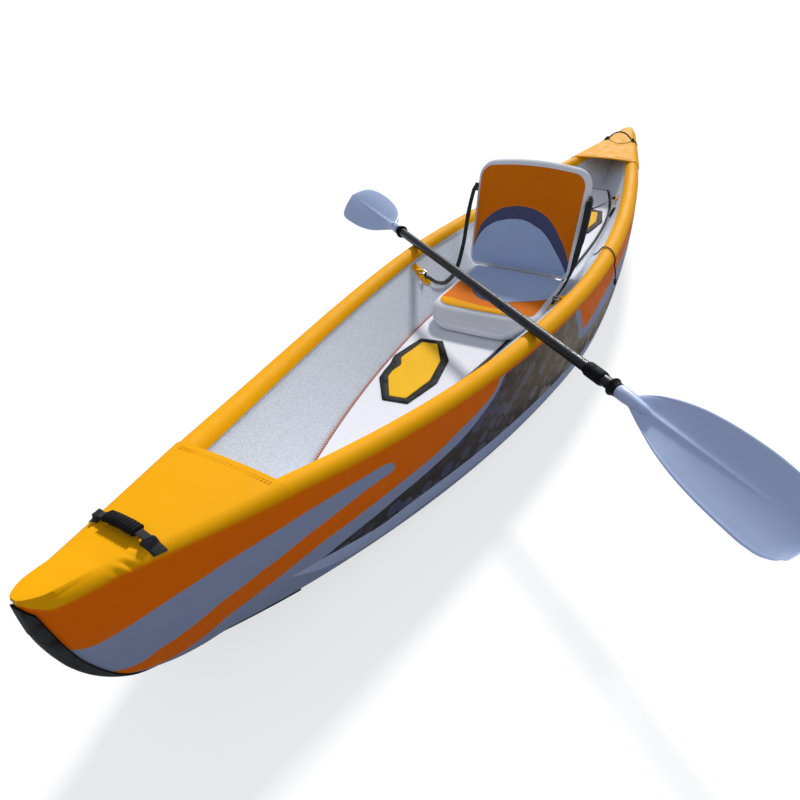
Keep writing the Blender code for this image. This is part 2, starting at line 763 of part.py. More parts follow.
def build_bow_handle():
    """Make the webbing handle with its ribbed grip on the foredeck."""
    base = deck_frame(HANDLE_X)
    chapes("bow_handle", HANDLE_X, base, PIVOT_LIFT, 0.0037, HANDLE_HALF + 0.014)
    lift = base @ Matrix.Translation((0, 0, PIVOT_LIFT))
    upper = arch(HANDLE_HALF, HANDLE_RISE, 14)
    thick = 0.0012
    side = [(y, z + thick) for y, z in upper] + [(y, z - thick) for y, z in reversed(upper)]
    upright = lift @ Matrix(((0, 0, 1, 0), (1, 0, 0, 0), (0, 1, 0, 0), (0, 0, 0, 1)))
    strap = plate("bow_handle_strap", [side], 0.016, upright, BLACK_WEB)
    for way in (1, -1):
        pin = cylinder("pin", 0.0033, 0.013, lift @ Matrix.Translation((0, way * (HANDLE_HALF + 0.0045), 0))
                       @ Matrix.Rotation(math.pi / 2, 4, "X"), BLACK_WEB, target=CUTTERS)
        cut(strap, pin, "UNION")
    ribs = 9
    length = 0.076
    profile = [(0.0055, -length / 2)]
    for k in range(ribs):
        start = -length / 2 + length * k / ribs
        step = length / ribs
        profile += [(0.0082, start), (0.0100, start + 0.2 * step), (0.0100, start + 0.6 * step),
                    (0.0082, start + 0.8 * step)]
    profile += [(0.0082, length / 2), (0.0055, length / 2)]
    spot = lift @ Matrix.Translation((0, 0, HANDLE_RISE - 0.0006)) @ Matrix.Rotation(math.pi / 2, 4, "X")
    solid = [(0.0, -length / 2)] + profile[1:-1] + [(0.0, length / 2)]
    grip = lathe("bow_handle_grip", solid, spot, BLACK_RUBBER, steps=14)
    wide = thick + GAP
    slot_side = [(y, z + wide) for y, z in upper] + [(y, z - wide) for y, z in reversed(upper)]
    cut(grip, plate("slot", [slot_side], 0.016 + 2 * GAP, upright, BLACK_WEB, CUTTERS))


def build_stern_handle():
    """Make the cord loop on the afterdeck."""
    base = deck_frame(-HANDLE_X)
    chapes("stern_handle", -HANDLE_X, base, 0.006, 0.0037, HANDLE_HALF + 0.014)
    lift = base @ Matrix.Translation((0, 0, 0.006))
    points = [(HANDLE_HALF + 0.011, 0.0)] + arch(HANDLE_HALF, 0.034, 16, 2.0) + [(-HANDLE_HALF - 0.011, 0.0)]
    path = [lift @ Vector((0, y, z)) for y, z in points]
    tube("stern_handle_loop", path, 0.0033, BLACK_WEB)


# Rings on the inner walls

RING_POINTS = {"front": (bay_middle(9), 0.80), "rear": (bay_middle(1), 0.55)}
PATCH_SIZE = (0.055, 0.040, 0.0016)
RING_WIDTH = 0.030
RING_DEPTH = 0.024
RING_TILT = 32.0


def d_ring(name, matrix, down):
    """Make a D-ring that hangs down the wall from its tab and stands a little off it."""
    width = RING_WIDTH
    path = [(-width / 2, 0), (width / 2, 0), (width / 2, 0.4 * RING_DEPTH)]
    for angle in (35, 70, 110, 145):
        a = math.radians(angle)
        path.append((width / 2 * math.cos(a), RING_DEPTH * (0.4 + 0.6 * math.sin(a))))
    path.append((-width / 2, 0.4 * RING_DEPTH))
    tilt = math.radians(RING_TILT)
    points = [matrix @ Vector((u, down * v * math.cos(tilt), v * math.sin(tilt))) for u, v in path]
    tube(name, points, 0.002, STEEL, cyclic=True)
    reach = RING_DEPTH * (0.4 + 0.6 * math.sin(math.radians(70)))
    return matrix @ Matrix.Translation((0, down * reach * math.cos(tilt), reach * math.sin(tilt)))


def build_rings():
    """Make the patches, their webbing tabs and the D-rings."""
    spots = {}
    for place_name, (x, up) in RING_POINTS.items():
        for word, side in (("port", 1), ("starboard", -1)):
            wall = wall_frame(x, up, side)
            name = place_name + "_ring_" + word
            lift = GAP + 0.0003
            patch = box(name + "_patch", PATCH_SIZE, wall @ Matrix.Translation((0, 0, lift + PATCH_SIZE[2] / 2)),
                        ORANGE)
            crown = wall @ Matrix.Translation((0, 0, lift + PATCH_SIZE[2] + 0.0032))
            tab = box("tab", (0.020, 0.024, 0.0080), crown @ Matrix.Translation((0, 0, -0.0010)), ORANGE, 0.0012,
                      CUTTERS)
            cut(patch, tab, "UNION")
            spots[name] = crown
            if place_name == "rear":
                continue
            hole = cylinder("hole", 0.0023, 0.03, crown @ Matrix.Rotation(math.pi / 2, 4, "Y"), ORANGE, 16, CUTTERS)
            cut(patch, hole)
            bar = d_ring(name, crown, -side)
            upright = frame_matrix(bar.translation, bar.col[0].xyz, (0, 0, 1))
            hook = box("front_hook_" + word, (0.0085, 0.011, 0.015), upright @ Matrix.Translation((0, 0, -0.0035)),
                       PLASTIC_BLACK, 0.0012)
            cut(hook, cylinder("hole", 0.0026, 0.03, bar @ Matrix.Rotation(math.pi / 2, 4, "Y"), STEEL, 16, CUTTERS))
            spots["front_hook_" + word] = upright @ Matrix.Translation((0, 0, -0.011))
    return spots


# Seat

def rounded_rect(half_x, half_y, front, rear, inset, steps=6):
    """Return a rounded rectangle, drawn in by the inset, with the same count of points at any inset."""
    half_x -= inset
    half_y -= inset
    least = 0.0015
    front = max(least, front - inset)
    rear = max(least, rear - inset)
    corners = ((half_x - front, half_y - front, front, 0), (-half_x + rear, half_y - rear, rear, 90),
               (-half_x + rear, -half_y + rear, rear, 180), (half_x - front, -half_y + front, front, 270))
    points = []
    for cx, cy, radius, start in corners:
        for k in range(steps + 1):
            a = math.radians(start + 90 * k / steps)
            points.append((cx + radius * math.cos(a), cy + radius * math.sin(a)))
    return points


def cushion(name, half_x, half_y, front, rear, profile, matrix, mat, bow_out=0.0, steps=6):
    """Loft a cushion of rounded outlines from a profile of (inset, height, how much narrower it is there)."""
    mesh = bmesh.new()
    rings = []
    for inset, height, *waist in profile:
        ring = []
        width = half_y - (waist[0] if waist else 0.0)
        for u, v in rounded_rect(half_x, width, front, rear, inset, steps):
            swell = bow_out * (1 - (v / half_y) ** 2) * max(0.0, u / half_x)
            ring.append(matrix @ Vector((u + swell, v, height)))
        rings.append(ring)
    loft(mesh, rings)
    return from_bmesh(name, mesh, mat)


def build_seat():
    """Make the seat base, its cover, the rear flap and the backrest."""
    half_x = SEAT_LENGTH / 2
    half_y = SEAT_WIDTH / 2
    seat_z = floor_top(0) + GAP + MAT_THICK + GAP
    turn = Matrix.Rotation(SEAT_YAW, 4, "Z")
    base = Matrix.Translation((SEAT_REAR_X, SEAT_REAR_Y, seat_z)) @ turn @ Matrix.Translation((half_x, 0, 0))
    thick = SEAT_THICK
    side = [(0.010, 0.0, 0.045), (0.003, 0.006, 0.041), (0.0, 0.018, 0.032), (0.0015, 0.5 * thick, 0.021),
            (0.0, thick - 0.018, 0.010), (0.002, thick - 0.010, 0.001), (0.005, thick - 0.005),
            (0.013, thick - 0.001), (0.0155, thick), (0.05, thick + 0.003),
            (0.10, thick + 0.006), (0.16, thick + 0.0075)]
    cushion("seat_base", half_x, half_y, 0.085, 0.025, side, base, SEAT_WHITE, 0.008)
    cover = [(0.018, thick + 0.0008 + GAP), (0.017, thick + 0.0028), (0.0195, thick + 0.0040),
             (0.05, thick + 0.0068 + GAP), (0.10, thick + 0.0100), (0.16, thick + 0.0115)]
    lower = [(0.16, thick + 0.0080 + GAP), (0.10, thick + 0.0065 + GAP), (0.05, thick + 0.0034 + GAP)]
    cushion("seat_cover", half_x, half_y, 0.085, 0.025, lower + cover, base, SEAT_ORANGE, 0.008)
    pivot_z = seat_z + BOLSTER_SIZE[2] + GAP + BACK_THICK / 2 + 0.0009
    spot = Matrix.Translation((BACK_X - 0.002, BACK_Y, seat_z + BOLSTER_SIZE[2] / 2))
    box("seat_bolster", BOLSTER_SIZE, spot, SEAT_WHITE, 0.004)
    lean = Matrix.Rotation(-BACK_LEAN, 4, "Y")
    back = Matrix.Translation((BACK_X, BACK_Y, pivot_z)) @ lean
    upright = back @ Matrix(((0, 0, 1, 0), (0, 1, 0, 0), (1, 0, 0, 0), (0, 0, 0, 1)))
    half_h = (BACK_HEIGHT + BACK_THICK / 2) / 2
    middle = upright @ Matrix.Translation((half_h - BACK_THICK / 2, 0, 0))
    t = BACK_THICK / 2
    pad = [(0.08, -t - 0.001), (0.012, -t), (0.004, -0.7 * t), (0.0, -0.2 * t), (0.0, 0.3 * t), (0.004, 0.75 * t),
           (0.012, t), (0.05, t + 0.002), (0.10, t + 0.0035), (0.16, t + 0.004)]
    cushion("seat_back", half_h, BACK_WIDTH / 2, 0.065, 0.045, pad, middle, SEAT_WHITE, 0.022)
    face = [(0.16, t + 0.0040 + GAP), (0.10, t + 0.0035 + GAP), (0.05, t + 0.0020 + GAP),
            (0.015, t + 0.0002 + GAP), (0.0135, t + 0.0025), (0.016, t + 0.0040),
            (0.05, t + 0.0060 + GAP), (0.10, t + 0.0075 + GAP), (0.16, t + 0.0080 + GAP)]
    cushion("seat_back_cover", half_h, BACK_WIDTH / 2, 0.065, 0.045, face, middle, SEAT_ORANGE, 0.022)
    return back


def smooth_path(points, count, guide=None):
    """Return points along a smooth curve through the given ones, evenly by the guide's chord length."""
    guide = guide or points
    knots = [0.0]
    for a, b in zip(guide, guide[1:]):
        knots.append(knots[-1] + (b - a).length)
    slopes = []
    last = len(points) - 1
    for i in range(len(points)):
        low = max(0, i - 1)
        high = min(last, i + 1)
        slopes.append((points[high] - points[low]) / (knots[high] - knots[low]))
    path = []
    for k in range(count + 1):
        s = knots[-1] * k / count
        i = 0
        while i < last - 1 and knots[i + 1] < s:
            i += 1
        span = knots[i + 1] - knots[i]
        t = (s - knots[i]) / span
        path.append(points[i] * (2 * t ** 3 - 3 * t * t + 1) + slopes[i] * span * (t ** 3 - 2 * t * t + t)
                    + points[i + 1] * (3 * t * t - 2 * t ** 3) + slopes[i + 1] * span * (t ** 3 - t * t))
    return path


def webbing(name, points, sides, width, thick, mat, count=32):
    """Sweep flat webbing along a smooth path, with the direction of its width given at each point."""
    path = smooth_path([Vector(p) for p in points], count)
    ways = smooth_path([Vector(w) for w in sides], count, [Vector(p) for p in points])
    rings = []
    for k, point in enumerate(path):
        tangent = (path[min(k + 1, count)] - path[max(k - 1, 0)]).normalized()
        if k == 0:
            tangent = (Vector(points[1]) - Vector(points[0])).normalized()
        if k == count:
            tangent = (Vector(points[-1]) - Vector(points[-2])).normalized()
        across = (ways[k] - tangent * ways[k].dot(tangent)).normalized()
        normal = tangent.cross(across) * (thick / 2)
        across = across * (width / 2)
        rings.append([point - across - normal, point + across - normal, point + across + normal,
                      point - across + normal])
    mesh = bmesh.new()
    loft(mesh, rings)
    return from_bmesh(name, mesh, mat)


STRAP_WIDTH = 0.020
STRAP_THICK = 0.0016
BUCKLE_UP = 0.285
STRAP_SAG = {"starboard": ((0.065, 0.212, 0.209), (0.02, 0.198, 0.194), (-0.07, 0.200, 0.208)),
             "port": ((0.050, 0.237, 0.237), (-0.02, 0.238, 0.247), (-0.10, 0.237, 0.272))}
STRAP_RISE = {"starboard": ((-0.16, -0.0005, 0.285), (-0.215, 0.0075, 0.385)),
              "port": ((-0.165, 0.0215, 0.330), (-0.215, 0.0195, 0.400))}
REAR_STRAP_UP = 0.235


def build_straps(back, rings):
    """Make the straps between the backrest and the rings, and the adjuster buckles."""
    for word, side in (("port", 1), ("starboard", -1)):
        edge = side * (BACK_WIDTH / 2 + GAP + 0.004)
        buckle = back @ Matrix.Translation((0, edge, BUCKLE_UP))
        body = box("buckle_" + word, (0.024, 0.008, 0.030), buckle, PLASTIC_BLACK, 0.002)
        slot = box("slot", (0.0170, 0.030, 0.004), buckle @ Matrix.Translation((0.0, 0, 0.006)), PLASTIC_BLACK,
                   target=CUTTERS)
        cut(body, slot)
        start = rings["front_hook_" + word] @ Vector((0, 0, -GAP - 0.0005))
        end = buckle @ Vector((0.012 + GAP + 0.0005, 0, -0.004))
        beside = BACK_WIDTH / 2
        sag = STRAP_SAG[word] + tuple((x, beside + y, z) for x, y, z in STRAP_RISE[word])
        points = [start, start + Vector((0, 0, -0.004)), start + Vector((-0.010, -side * 0.005, -0.008))]
        points += [Vector((x, side * y, z)) for x, y, z in sag]
        points += [end + Vector((0.010, 0, -0.003)), end]
        flat_on_wall = Vector((0, 0.7, side * 0.7))
        sides = [rings["front_hook_" + word].col[0].xyz] * 2 + [flat_on_wall] * 4 + [Vector((0, 1, 0))] * (len(points) - 6)
        webbing("front_strap_" + word, points, sides, STRAP_WIDTH, STRAP_THICK, BLACK_WEB)
        anchor = rings["rear_ring_" + word]
        low = anchor @ Vector((0, 0, 0.0030 + GAP + 0.0005))
        high = back @ Vector((-BACK_THICK / 2 - GAP - 0.0045, side * (BACK_WIDTH / 2 - 0.020), REAR_STRAP_UP))
        span = high - low
        lead = anchor @ Vector((0.004, 0, 0.016))
        points = [low, lead, low + span * 0.30 + Vector((0, 0, -0.004)), low + span * 0.66 + Vector((0, 0, -0.006)),
                  high + Vector((-0.010, 0, -0.001)), high]
        webbing("rear_strap_" + word, points, [Vector((0, side * 0.7, 0.7))] * len(points), 0.016, STRAP_THICK,
                BLACK_WEB, 16)


# Paddle

def blade_outline():
    """Return the blade's two edges as (distance, half width) from neck to tip, with the formula for each."""
    count = 12
    rows = []
    for k in range(count + 1):
        s = k / count
        upper = 0.087 * (1 - (1 - min(1, s / 0.50)) ** 2.4) * (1 - 0.10 * max(0.0, s - 0.5) / 0.5)
        lower = 0.082 * (1 - (1 - min(1, s / 0.72)) ** 1.9)
        close = math.sqrt(max(0.0, 1 - (max(0.0, s - 0.74) / 0.26) ** 3.0))
        rows.append((s, max(0.0135, upper) * close, max(0.0135, lower) * close))
    return rows


def blade(name, matrix):
    """Make one blade: a spooned thin leaf with a rib, in one solid with its neck.

    Local X runs outward along the shaft from the ring, local Y to the upper edge.
    """
    mesh = bmesh.new()
    neck = 0.030
    start = neck + 0.026
    reach = BLADE_REACH - start
    rows = blade_outline()
    cross = (-1.0, -0.75, -0.40, -0.14, 0.0, 0.14, 0.40, 0.75, 1.0)
    rings = []
    for s, upper, lower in rows:
        x = start + reach * s
        upper = max(upper, 0.004)
        lower = max(lower, 0.004)
        half = BLADE_THICK / 2
        front = []
        rear = []
        fade = max(0.0, 1 - s / 0.85)
        swell = max(0.0, 1 - s / 0.22) ** 2
        for c in cross:
            y = c * (upper if c > 0 else lower)
            spoon = BLADE_SPOON * (abs(c) ** 2) * min(1.0, s * 3) * 0.55 - BLADE_SPOON * (s - 0.5) ** 2 * 0.9
            rib = 0.0065 * fade * math.exp(-(c / 0.16) ** 2)
            edge = half * (1 - 0.72 * abs(c) ** 6)
            body = swell * math.sqrt(max(0.0, 1 - c * c)) * 0.0115
            front.append((x, y, spoon + edge + rib * 0.3 + body))
            rear.append((x, y, spoon - edge - rib - body))
        rings.append([matrix @ Vector(p) for p in front + list(reversed(rear))])
    loft(mesh, rings)
    leaf = from_bmesh(name, mesh, BLADE_WHITE)
    socket = SHAFT_RADIUS + GAP
    profile = [(0.0, 0.0), (SHAFT_RADIUS + 0.0030, 0.0), (SHAFT_RADIUS + 0.0030, neck),
               (0.0150, start + 0.010), (0.0125, start + 0.030), (0.0, start + 0.045)]
    ahead = matrix @ Matrix.Rotation(math.pi / 2, 4, "Y")
    cut(leaf, lathe("neck", profile, ahead, BLADE_WHITE, steps=24, target=CUTTERS), "UNION")
    hole = cylinder("hole", socket, 2 * (neck - 0.002), ahead, BLADE_WHITE, 24, CUTTERS)
    cut(leaf, hole)
    return leaf


def build_paddle():
    """Make the paddle across both gunwales."""
    flat = Vector((math.cos(SHAFT_ANGLE), math.sin(SHAFT_ANGLE), 0))
    across = Vector((math.sin(SHAFT_ANGLE), -math.cos(SHAFT_ANGLE), 0))
    rests = []
    for side in (-1, 1):
        distance = 0.0 if side < 0 else RING_SPAN / 2
        while True:
            spot = Vector((FAR_RING.x, FAR_RING.y)) + flat.xy * distance
            beyond = side * spot.y - (half_beam(spot.x) - GUNWALE_RADIUS)
            if side * beyond >= 0:
                break
            distance += 0.001
        rests.append((distance, along(spot.x, [ring[CREST][1] for ring in SECTIONS])))
    (d0, z0), (d1, z1) = rests
    slope = (z1 - z0) / (d1 - d0)
    along_shaft = (flat + Vector((0, 0, slope))).normalized()
    shaft_z = z0 - slope * d0 + SHAFT_RADIUS + 0.0006
    far = Vector((FAR_RING.x, FAR_RING.y, shaft_z))
    near = far + along_shaft * RING_SPAN
    upper = -(across * math.cos(BLADE_TILT) + Vector((0, 0, math.sin(BLADE_TILT))))
    neck_gap = 0.014
    frames = []
    for point, way in ((near, along_shaft), (far, -along_shaft)):
        z_dir = way.cross(upper)
        matrix = Matrix((way, upper, z_dir)).transposed().to_4x4()
        matrix.translation = point + way * neck_gap
        frames.append(matrix)
    blade("blade_near", frames[0])
    blade("blade_far", frames[1])
    turn = along_shaft.to_track_quat("Z", "Y").to_matrix().to_4x4()
    insert = 0.027
    sleeve_at = RING_SPAN - 0.075
    split = sleeve_at - 0.012

    def rod(name, low, high, radius, mat, steps=24):
        """Make a rod between two distances from the far ring."""
        spot = Matrix.Translation(far + along_shaft * (low + high) / 2) @ turn
        return cylinder(name, radius, high - low, spot, mat, steps)

    rod("shaft", -neck_gap - insert, split - GAP / 2, SHAFT_RADIUS, SHAFT_BLACK)
    rod("near_tube", split + GAP / 2, RING_SPAN + neck_gap + insert, SHAFT_RADIUS, SHAFT_BLACK)
    spot = Matrix.Translation(far + along_shaft * sleeve_at) @ turn
    half = SLEEVE_LENGTH / 2
    inside = SHAFT_RADIUS + GAP
    sleeve = [(inside, -half), (SLEEVE_RADIUS, -half), (SLEEVE_RADIUS + 0.001, -half + 0.004),
              (SLEEVE_RADIUS + 0.001, half - 0.004), (SLEEVE_RADIUS, half), (inside, half)]
    lathe("clamp_sleeve", sleeve, spot, BLACK_RUBBER, steps=24)
    for word, distance, way in (("far", 0.0, -1), ("near", RING_SPAN, 1)):
        spot = Matrix.Translation(far + along_shaft * distance) @ turn
        cup = [(inside, -0.011), (0.0185, -0.011), (0.0190, -0.003), (RING_RADIUS, 0.007), (RING_RADIUS, 0.010),
               (0.0235, 0.010), (0.0185, 0.002), (inside, 0.002)]
        if way > 0:
            cup = [(radius, -height) for radius, height in reversed(cup)]
        lathe("drip_ring_" + word, cup, spot, BLACK_RUBBER, steps=24)


# Leash

def build_leash():
    """Make the thin cord over the port gunwale with its small clip."""
    x0 = -0.235
    radius = GUNWALE_RADIUS
    cord = 0.0022
    lift = cord + 0.0017
    points = [wall_frame(x0 - 0.10, 0.74, 1) @ Vector((0, 0, lift)),
              wall_frame(x0 - 0.08, 0.90, 1) @ Vector((0, 0, lift))]
    for angle in range(160, -1, -20):
        a = math.radians(angle)
        reach = radius + lift
        x = x0 - 0.06 + 0.10 * (160 - angle) / 160
        points.append(Vector((x, half_beam(x) - radius + reach * math.cos(a),
                              gunwale_top(x) - radius + reach * math.sin(a))))
    last = points[-1]
    points.append(last + Vector((0.012, 0.009, -0.018)))
    points.append(last + Vector((0.022, 0.014, -0.040)))
    tube("leash_cord", smooth_path(points, 40), cord, BLACK_WEB, resolution=1)
    end = points[-1]
    direction = (points[-1] - points[-2]).normalized()
    spot = frame_matrix(end + direction * (0.011 + GAP), (0, 1, 0), direction)
    box("leash_clip", (0.010, 0.006, 0.022), spot, PLASTIC_BLACK, 0.0015)


def build():
    """Build the whole canoe."""
    port, starboard, floor = build_hull()
    mat = build_floor(floor)
    build_valves(port, starboard, floor, mat)
    build_bow_handle()
    build_stern_handle()
    rings = build_rings()
    back = build_seat()
    build_straps(back, rings)
    build_paddle()
    build_leash()
    CUTTERS.hide_render = True


build()
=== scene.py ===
"""Looks of the inflatable canoe, its padded seat and its paddle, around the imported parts.

Metres, +X to the bow, +Y to port, +Z up, in the frame of the solids.
"""

import logging
import math
from collections.abc import Callable, Sequence
from dataclasses import dataclass
from enum import Enum
from functools import reduce

import bmesh
import bpy
import numpy as np
from mathutils import Matrix, Vector, noise


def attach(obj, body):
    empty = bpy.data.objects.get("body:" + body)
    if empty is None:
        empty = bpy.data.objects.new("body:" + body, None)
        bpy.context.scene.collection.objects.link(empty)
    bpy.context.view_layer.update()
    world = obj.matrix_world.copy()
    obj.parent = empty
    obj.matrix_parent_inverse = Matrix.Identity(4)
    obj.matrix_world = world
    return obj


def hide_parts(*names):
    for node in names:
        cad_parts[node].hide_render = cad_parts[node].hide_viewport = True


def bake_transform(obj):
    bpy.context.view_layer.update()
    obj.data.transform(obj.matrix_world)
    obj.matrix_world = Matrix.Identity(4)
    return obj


log = logging.getLogger("canoe")
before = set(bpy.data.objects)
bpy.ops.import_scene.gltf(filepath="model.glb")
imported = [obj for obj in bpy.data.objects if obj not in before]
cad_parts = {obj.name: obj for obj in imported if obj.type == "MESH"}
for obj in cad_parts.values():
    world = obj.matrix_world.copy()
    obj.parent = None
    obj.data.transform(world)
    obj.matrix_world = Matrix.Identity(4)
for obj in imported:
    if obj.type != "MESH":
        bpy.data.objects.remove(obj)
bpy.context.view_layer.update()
GAP = 0.0003

Colour = tuple[float, float, float]
Sizes = tuple[float, ...]
Socket = bpy.types.NodeSocket
Object = bpy.types.Object


def tone(red: int, green: int, blue: int) -> Colour:
    """Return the linear colour of three screen values from 0 to 255."""
    shares = [value / 255 for value in (red, green, blue)]
    return tuple(s / 12.92 if s <= 0.04045 else ((s + 0.055) / 1.055) ** 2.4 for s in shares)


def dimmed(colour: Colour, share: float) -> Colour:
    """Return a share of a colour's light."""
    return tuple(c * share for c in colour)


class Side(Enum):
    """The two sides of the hull."""

    PORT = 1
    STARBOARD = -1

    @property
    def word(self) -> str:
        """Return the side's word in the names of the nodes."""
        return self.name.lower()


SUNLIT_ORANGE = tone(255, 178, 0)
# The orange of the printed side, deeper and redder than the top's to stand for its shade: painted shade.
SHADED_ORANGE = tone(250, 116, 0)
# The print's light grey, written darker and bluer as it looks in blue sky shade: partly painted shade.
SHADED_HULL_GREY = tone(150, 160, 190)
# Paler grey of the strip along the chine, where it turns up to the light: painted light.
PAINTED_CHINE_LIGHT = tone(188, 198, 232)
WALL_GREY = tone(218, 224, 234)
FLOOR_WHITE = tone(240, 240, 248)
NIGHT = tone(30, 26, 30)
TAUPE = tone(140, 122, 104)
NIGHT_SPOT = tone(74, 74, 104)
TAUPE_SPOT = tone(150, 138, 128)
NAVY = tone(84, 86, 124)
PALE_BLUE = tone(180, 200, 240)
SEAT_ORANGE = tone(240, 124, 8)
# The sunlit look of the seat's orange cloth, for the band along the cushion's front: painted light.
SUNLIT_FRONT_YELLOW = tone(255, 176, 0)
RIM_WHITE = tone(236, 237, 245)
PAD_YELLOW = tone(255, 194, 0)
BLACK = tone(30, 31, 36)
SHAFT = tone(34, 37, 46)
# Near-white blade plastic, written pale blue as it looks in blue sky shade: painted shade.
SKY_SHADED_BLADE = tone(190, 206, 244)
RUBBER = tone(19, 19, 22)
PALE_PIPE = tone(206, 178, 170)
RED_STITCH = tone(164, 84, 62)


# Materials

class Graph:
    """Builds the nodes of one material."""

    def __init__(self, name: str) -> None:
        """Start a Principled material.

        Args:
            name: The material's name.
        """
        self.material = bpy.data.materials.new(name)
        self.material.use_nodes = True
        self.tree = self.material.node_tree
        self.shader = self.tree.nodes["Principled BSDF"]

    def plug(self, socket: Socket, value: object) -> None:
        """Link an output to a socket, or set the socket.

        Args:
            socket: The input.
            value: An output, a number, a colour or a vector.
        """
        if isinstance(value, bpy.types.NodeSocket):
            self.tree.links.new(value, socket)
        elif socket.type == "RGBA":
            socket.default_value = (*value, 1.0)
        else:
            socket.default_value = value

    def node(self, kind: str, inputs: dict, **settings: object) -> bpy.types.Node:
        """Add a node.

        Args:
            kind: The node's type.
            inputs: What goes into its sockets, by name or place.
            settings: Its properties.

        Returns:
            The node.
        """
        made = self.tree.nodes.new(kind)
        for key, value in settings.items():
            setattr(made, key, value)
        for key, value in inputs.items():
            self.plug(made.inputs[key], value)
        return made

    def math(self, operation: str, first: object, second: object = 0.0, third: object = 0.0) -> Socket:
        """Return the result of a sum of up to three values."""
        inputs = {0: first, 1: second, 2: third}
        return self.node("ShaderNodeMath", inputs, operation=operation).outputs[0]

    def over(self, value: object, edge: object) -> Socket:
        """Return one where the value is over the edge, else nought."""
        return self.math("GREATER_THAN", value, edge)

    def under(self, value: object, edge: object) -> Socket:
        """Return one where the value is under the edge, else nought."""
        return self.math("LESS_THAN", value, edge)

    def away(self, value: object, middle: float) -> Socket:
        """Return how far the value is from the middle."""
        return self.math("ABSOLUTE", self.math("SUBTRACT", value, middle))

    def mix(self, share: object, first: object, second: object) -> Socket:
        """Return the colour at a share of the way from the first to the second."""
        return self.node("ShaderNodeMix", {0: share, 6: first, 7: second}, data_type="RGBA").outputs[2]

    def span(self, value: object, low: float, high: float, out_low: float, out_high: float) -> Socket:
        """Return a value carried smoothly from one span to another and held at its ends."""
        inputs = {0: value, 1: low, 2: high, 3: out_low, 4: out_high}
        return self.node("ShaderNodeMapRange", inputs, interpolation_type="SMOOTHSTEP").outputs[0]

    def both(self, *tests: Socket) -> Socket:
        """Return one where every test is one."""
        return reduce(lambda first, second: self.math("MULTIPLY", first, second), tests)

    def place(self) -> tuple[Socket, Socket, Socket]:
        """Return the three values that are stored at each point of a piece."""
        stored = self.node("ShaderNodeAttribute", {}, attribute_name="cloth").outputs["Vector"]
        return tuple(self.node("ShaderNodeSeparateXYZ", {0: stored}).outputs)

    def grain(self, size: float, detail: float = 3.0, stretch: Colour = (1.0, 1.0, 1.0)) -> Socket:
        """Return a soft random pattern fixed to the piece.

        Args:
            size: How large its patches are.
            detail: How many finer ones ride on them.
            stretch: How much they are narrowed along each axis.

        Returns:
            The output.
        """
        spot = self.node("ShaderNodeTexCoord", {}).outputs["Object"]
        spot = self.node("ShaderNodeVectorMath", {0: spot, 1: stretch}, operation="MULTIPLY").outputs[0]
        inputs = {"Vector": spot, "Scale": 1 / size, "Detail": detail}
        return self.node("ShaderNodeTexNoise", inputs).outputs[0]

    def wave(self, value: object, pitch: float) -> Socket:
        """Return a wave from minus one to one, with the pitch as its length."""
        return self.math("SINE", self.math("MULTIPLY", value, math.tau / pitch))

    def weave(self, pitch: float) -> Socket:
        """Return the height of a plain weave, from nought to one."""
        along, across = (self.wave(way, pitch) for way in self.place()[:2])
        return self.math("MULTIPLY_ADD", self.math("MULTIPLY", along, across), 0.5, 0.5)

    def edge(self, value: object, points: Sequence[tuple[float, float]]) -> Socket:
        """Return the height of a drawn line at a place.

        Args:
            value: The place along the line.
            points: The line's points, in rising order.

        Returns:
            The output.
        """
        first = points[0][0]
        length = points[-1][0] - first
        share = self.math("DIVIDE", self.math("SUBTRACT", value, first), length)
        node = self.node("ShaderNodeFloatCurve", {"Value": share})
        node.mapping.use_clip = False
        node.mapping.extend = "HORIZONTAL"
        line = node.mapping.curves[0]
        rows = [((x - first) / length, y) for x, y in points]
        line.points[0].location = rows[0]
        line.points[1].location = rows[-1]
        for x, y in rows[1:-1]:
            line.points.new(x, y)
        for point in line.points:
            point.handle_type = "AUTO_CLAMPED"
        node.mapping.update()
        return node.outputs[0]

    def bump(self, height: Socket, depth: float) -> None:
        """Raise the surface by a pattern from nought to one that stands as high as the depth."""
        made = self.node("ShaderNodeBump", {"Height": height, "Distance": depth, "Strength": 1.0})
        self.tree.links.new(made.outputs[0], self.shader.inputs["Normal"])

    def finish(self, colour: object, roughness: object, **others: float) -> bpy.types.Material:
        """Set the shader and hand over the material.

        Args:
            colour: The colour.
            roughness: The roughness.
            others: Plain values of other sockets, with a line for each space in the name.

        Returns:
            The material.
        """
        self.plug(self.shader.inputs["Base Color"], colour)
        self.plug(self.shader.inputs["Roughness"], roughness)
        for key, value in others.items():
            self.shader.inputs[key.replace("_", " ")].default_value = value
        return self.material


@dataclass(frozen=True)
class Finish:
    """A finish that is made once and shared."""

    name: str
    colour: Colour = BLACK
    roughness: float = 0.6

    def material(self) -> bpy.types.Material:
        """Return the finish's material."""
        return bpy.data.materials.get(self.name) or self.build(Graph(self.name))

    def shade(self, graph: Graph, size: float, amount: float) -> Socket:
        """Return the colour with soft patches of a size that depart by an amount."""
        ends = [tuple(min(1.0, c * share) for c in self.colour) for share in (1 - amount, 1 + amount)]
        return graph.mix(graph.grain(size), *ends)

@dataclass(frozen=True)
class Fabric(Finish):
    """Coated or plain woven fabric."""

    pitch: float = 0.0016
    depth: float = 0.00012
    shine: float = 0.06

    def build(self, graph: Graph) -> bpy.types.Material:
        """Return woven fabric with soft colour changes.

        Args:
            graph: The material's nodes.

        Returns:
            The material.
        """
        graph.bump(graph.math("ADD", graph.weave(self.pitch), graph.grain(0.01)), self.depth)
        worn = graph.span(graph.grain(0.03), 0.3, 0.7, self.roughness - 0.06, self.roughness + 0.06)
        return graph.finish(self.shade(graph, 0.12, 0.05), worn, Specular_IOR_Level=self.shine)


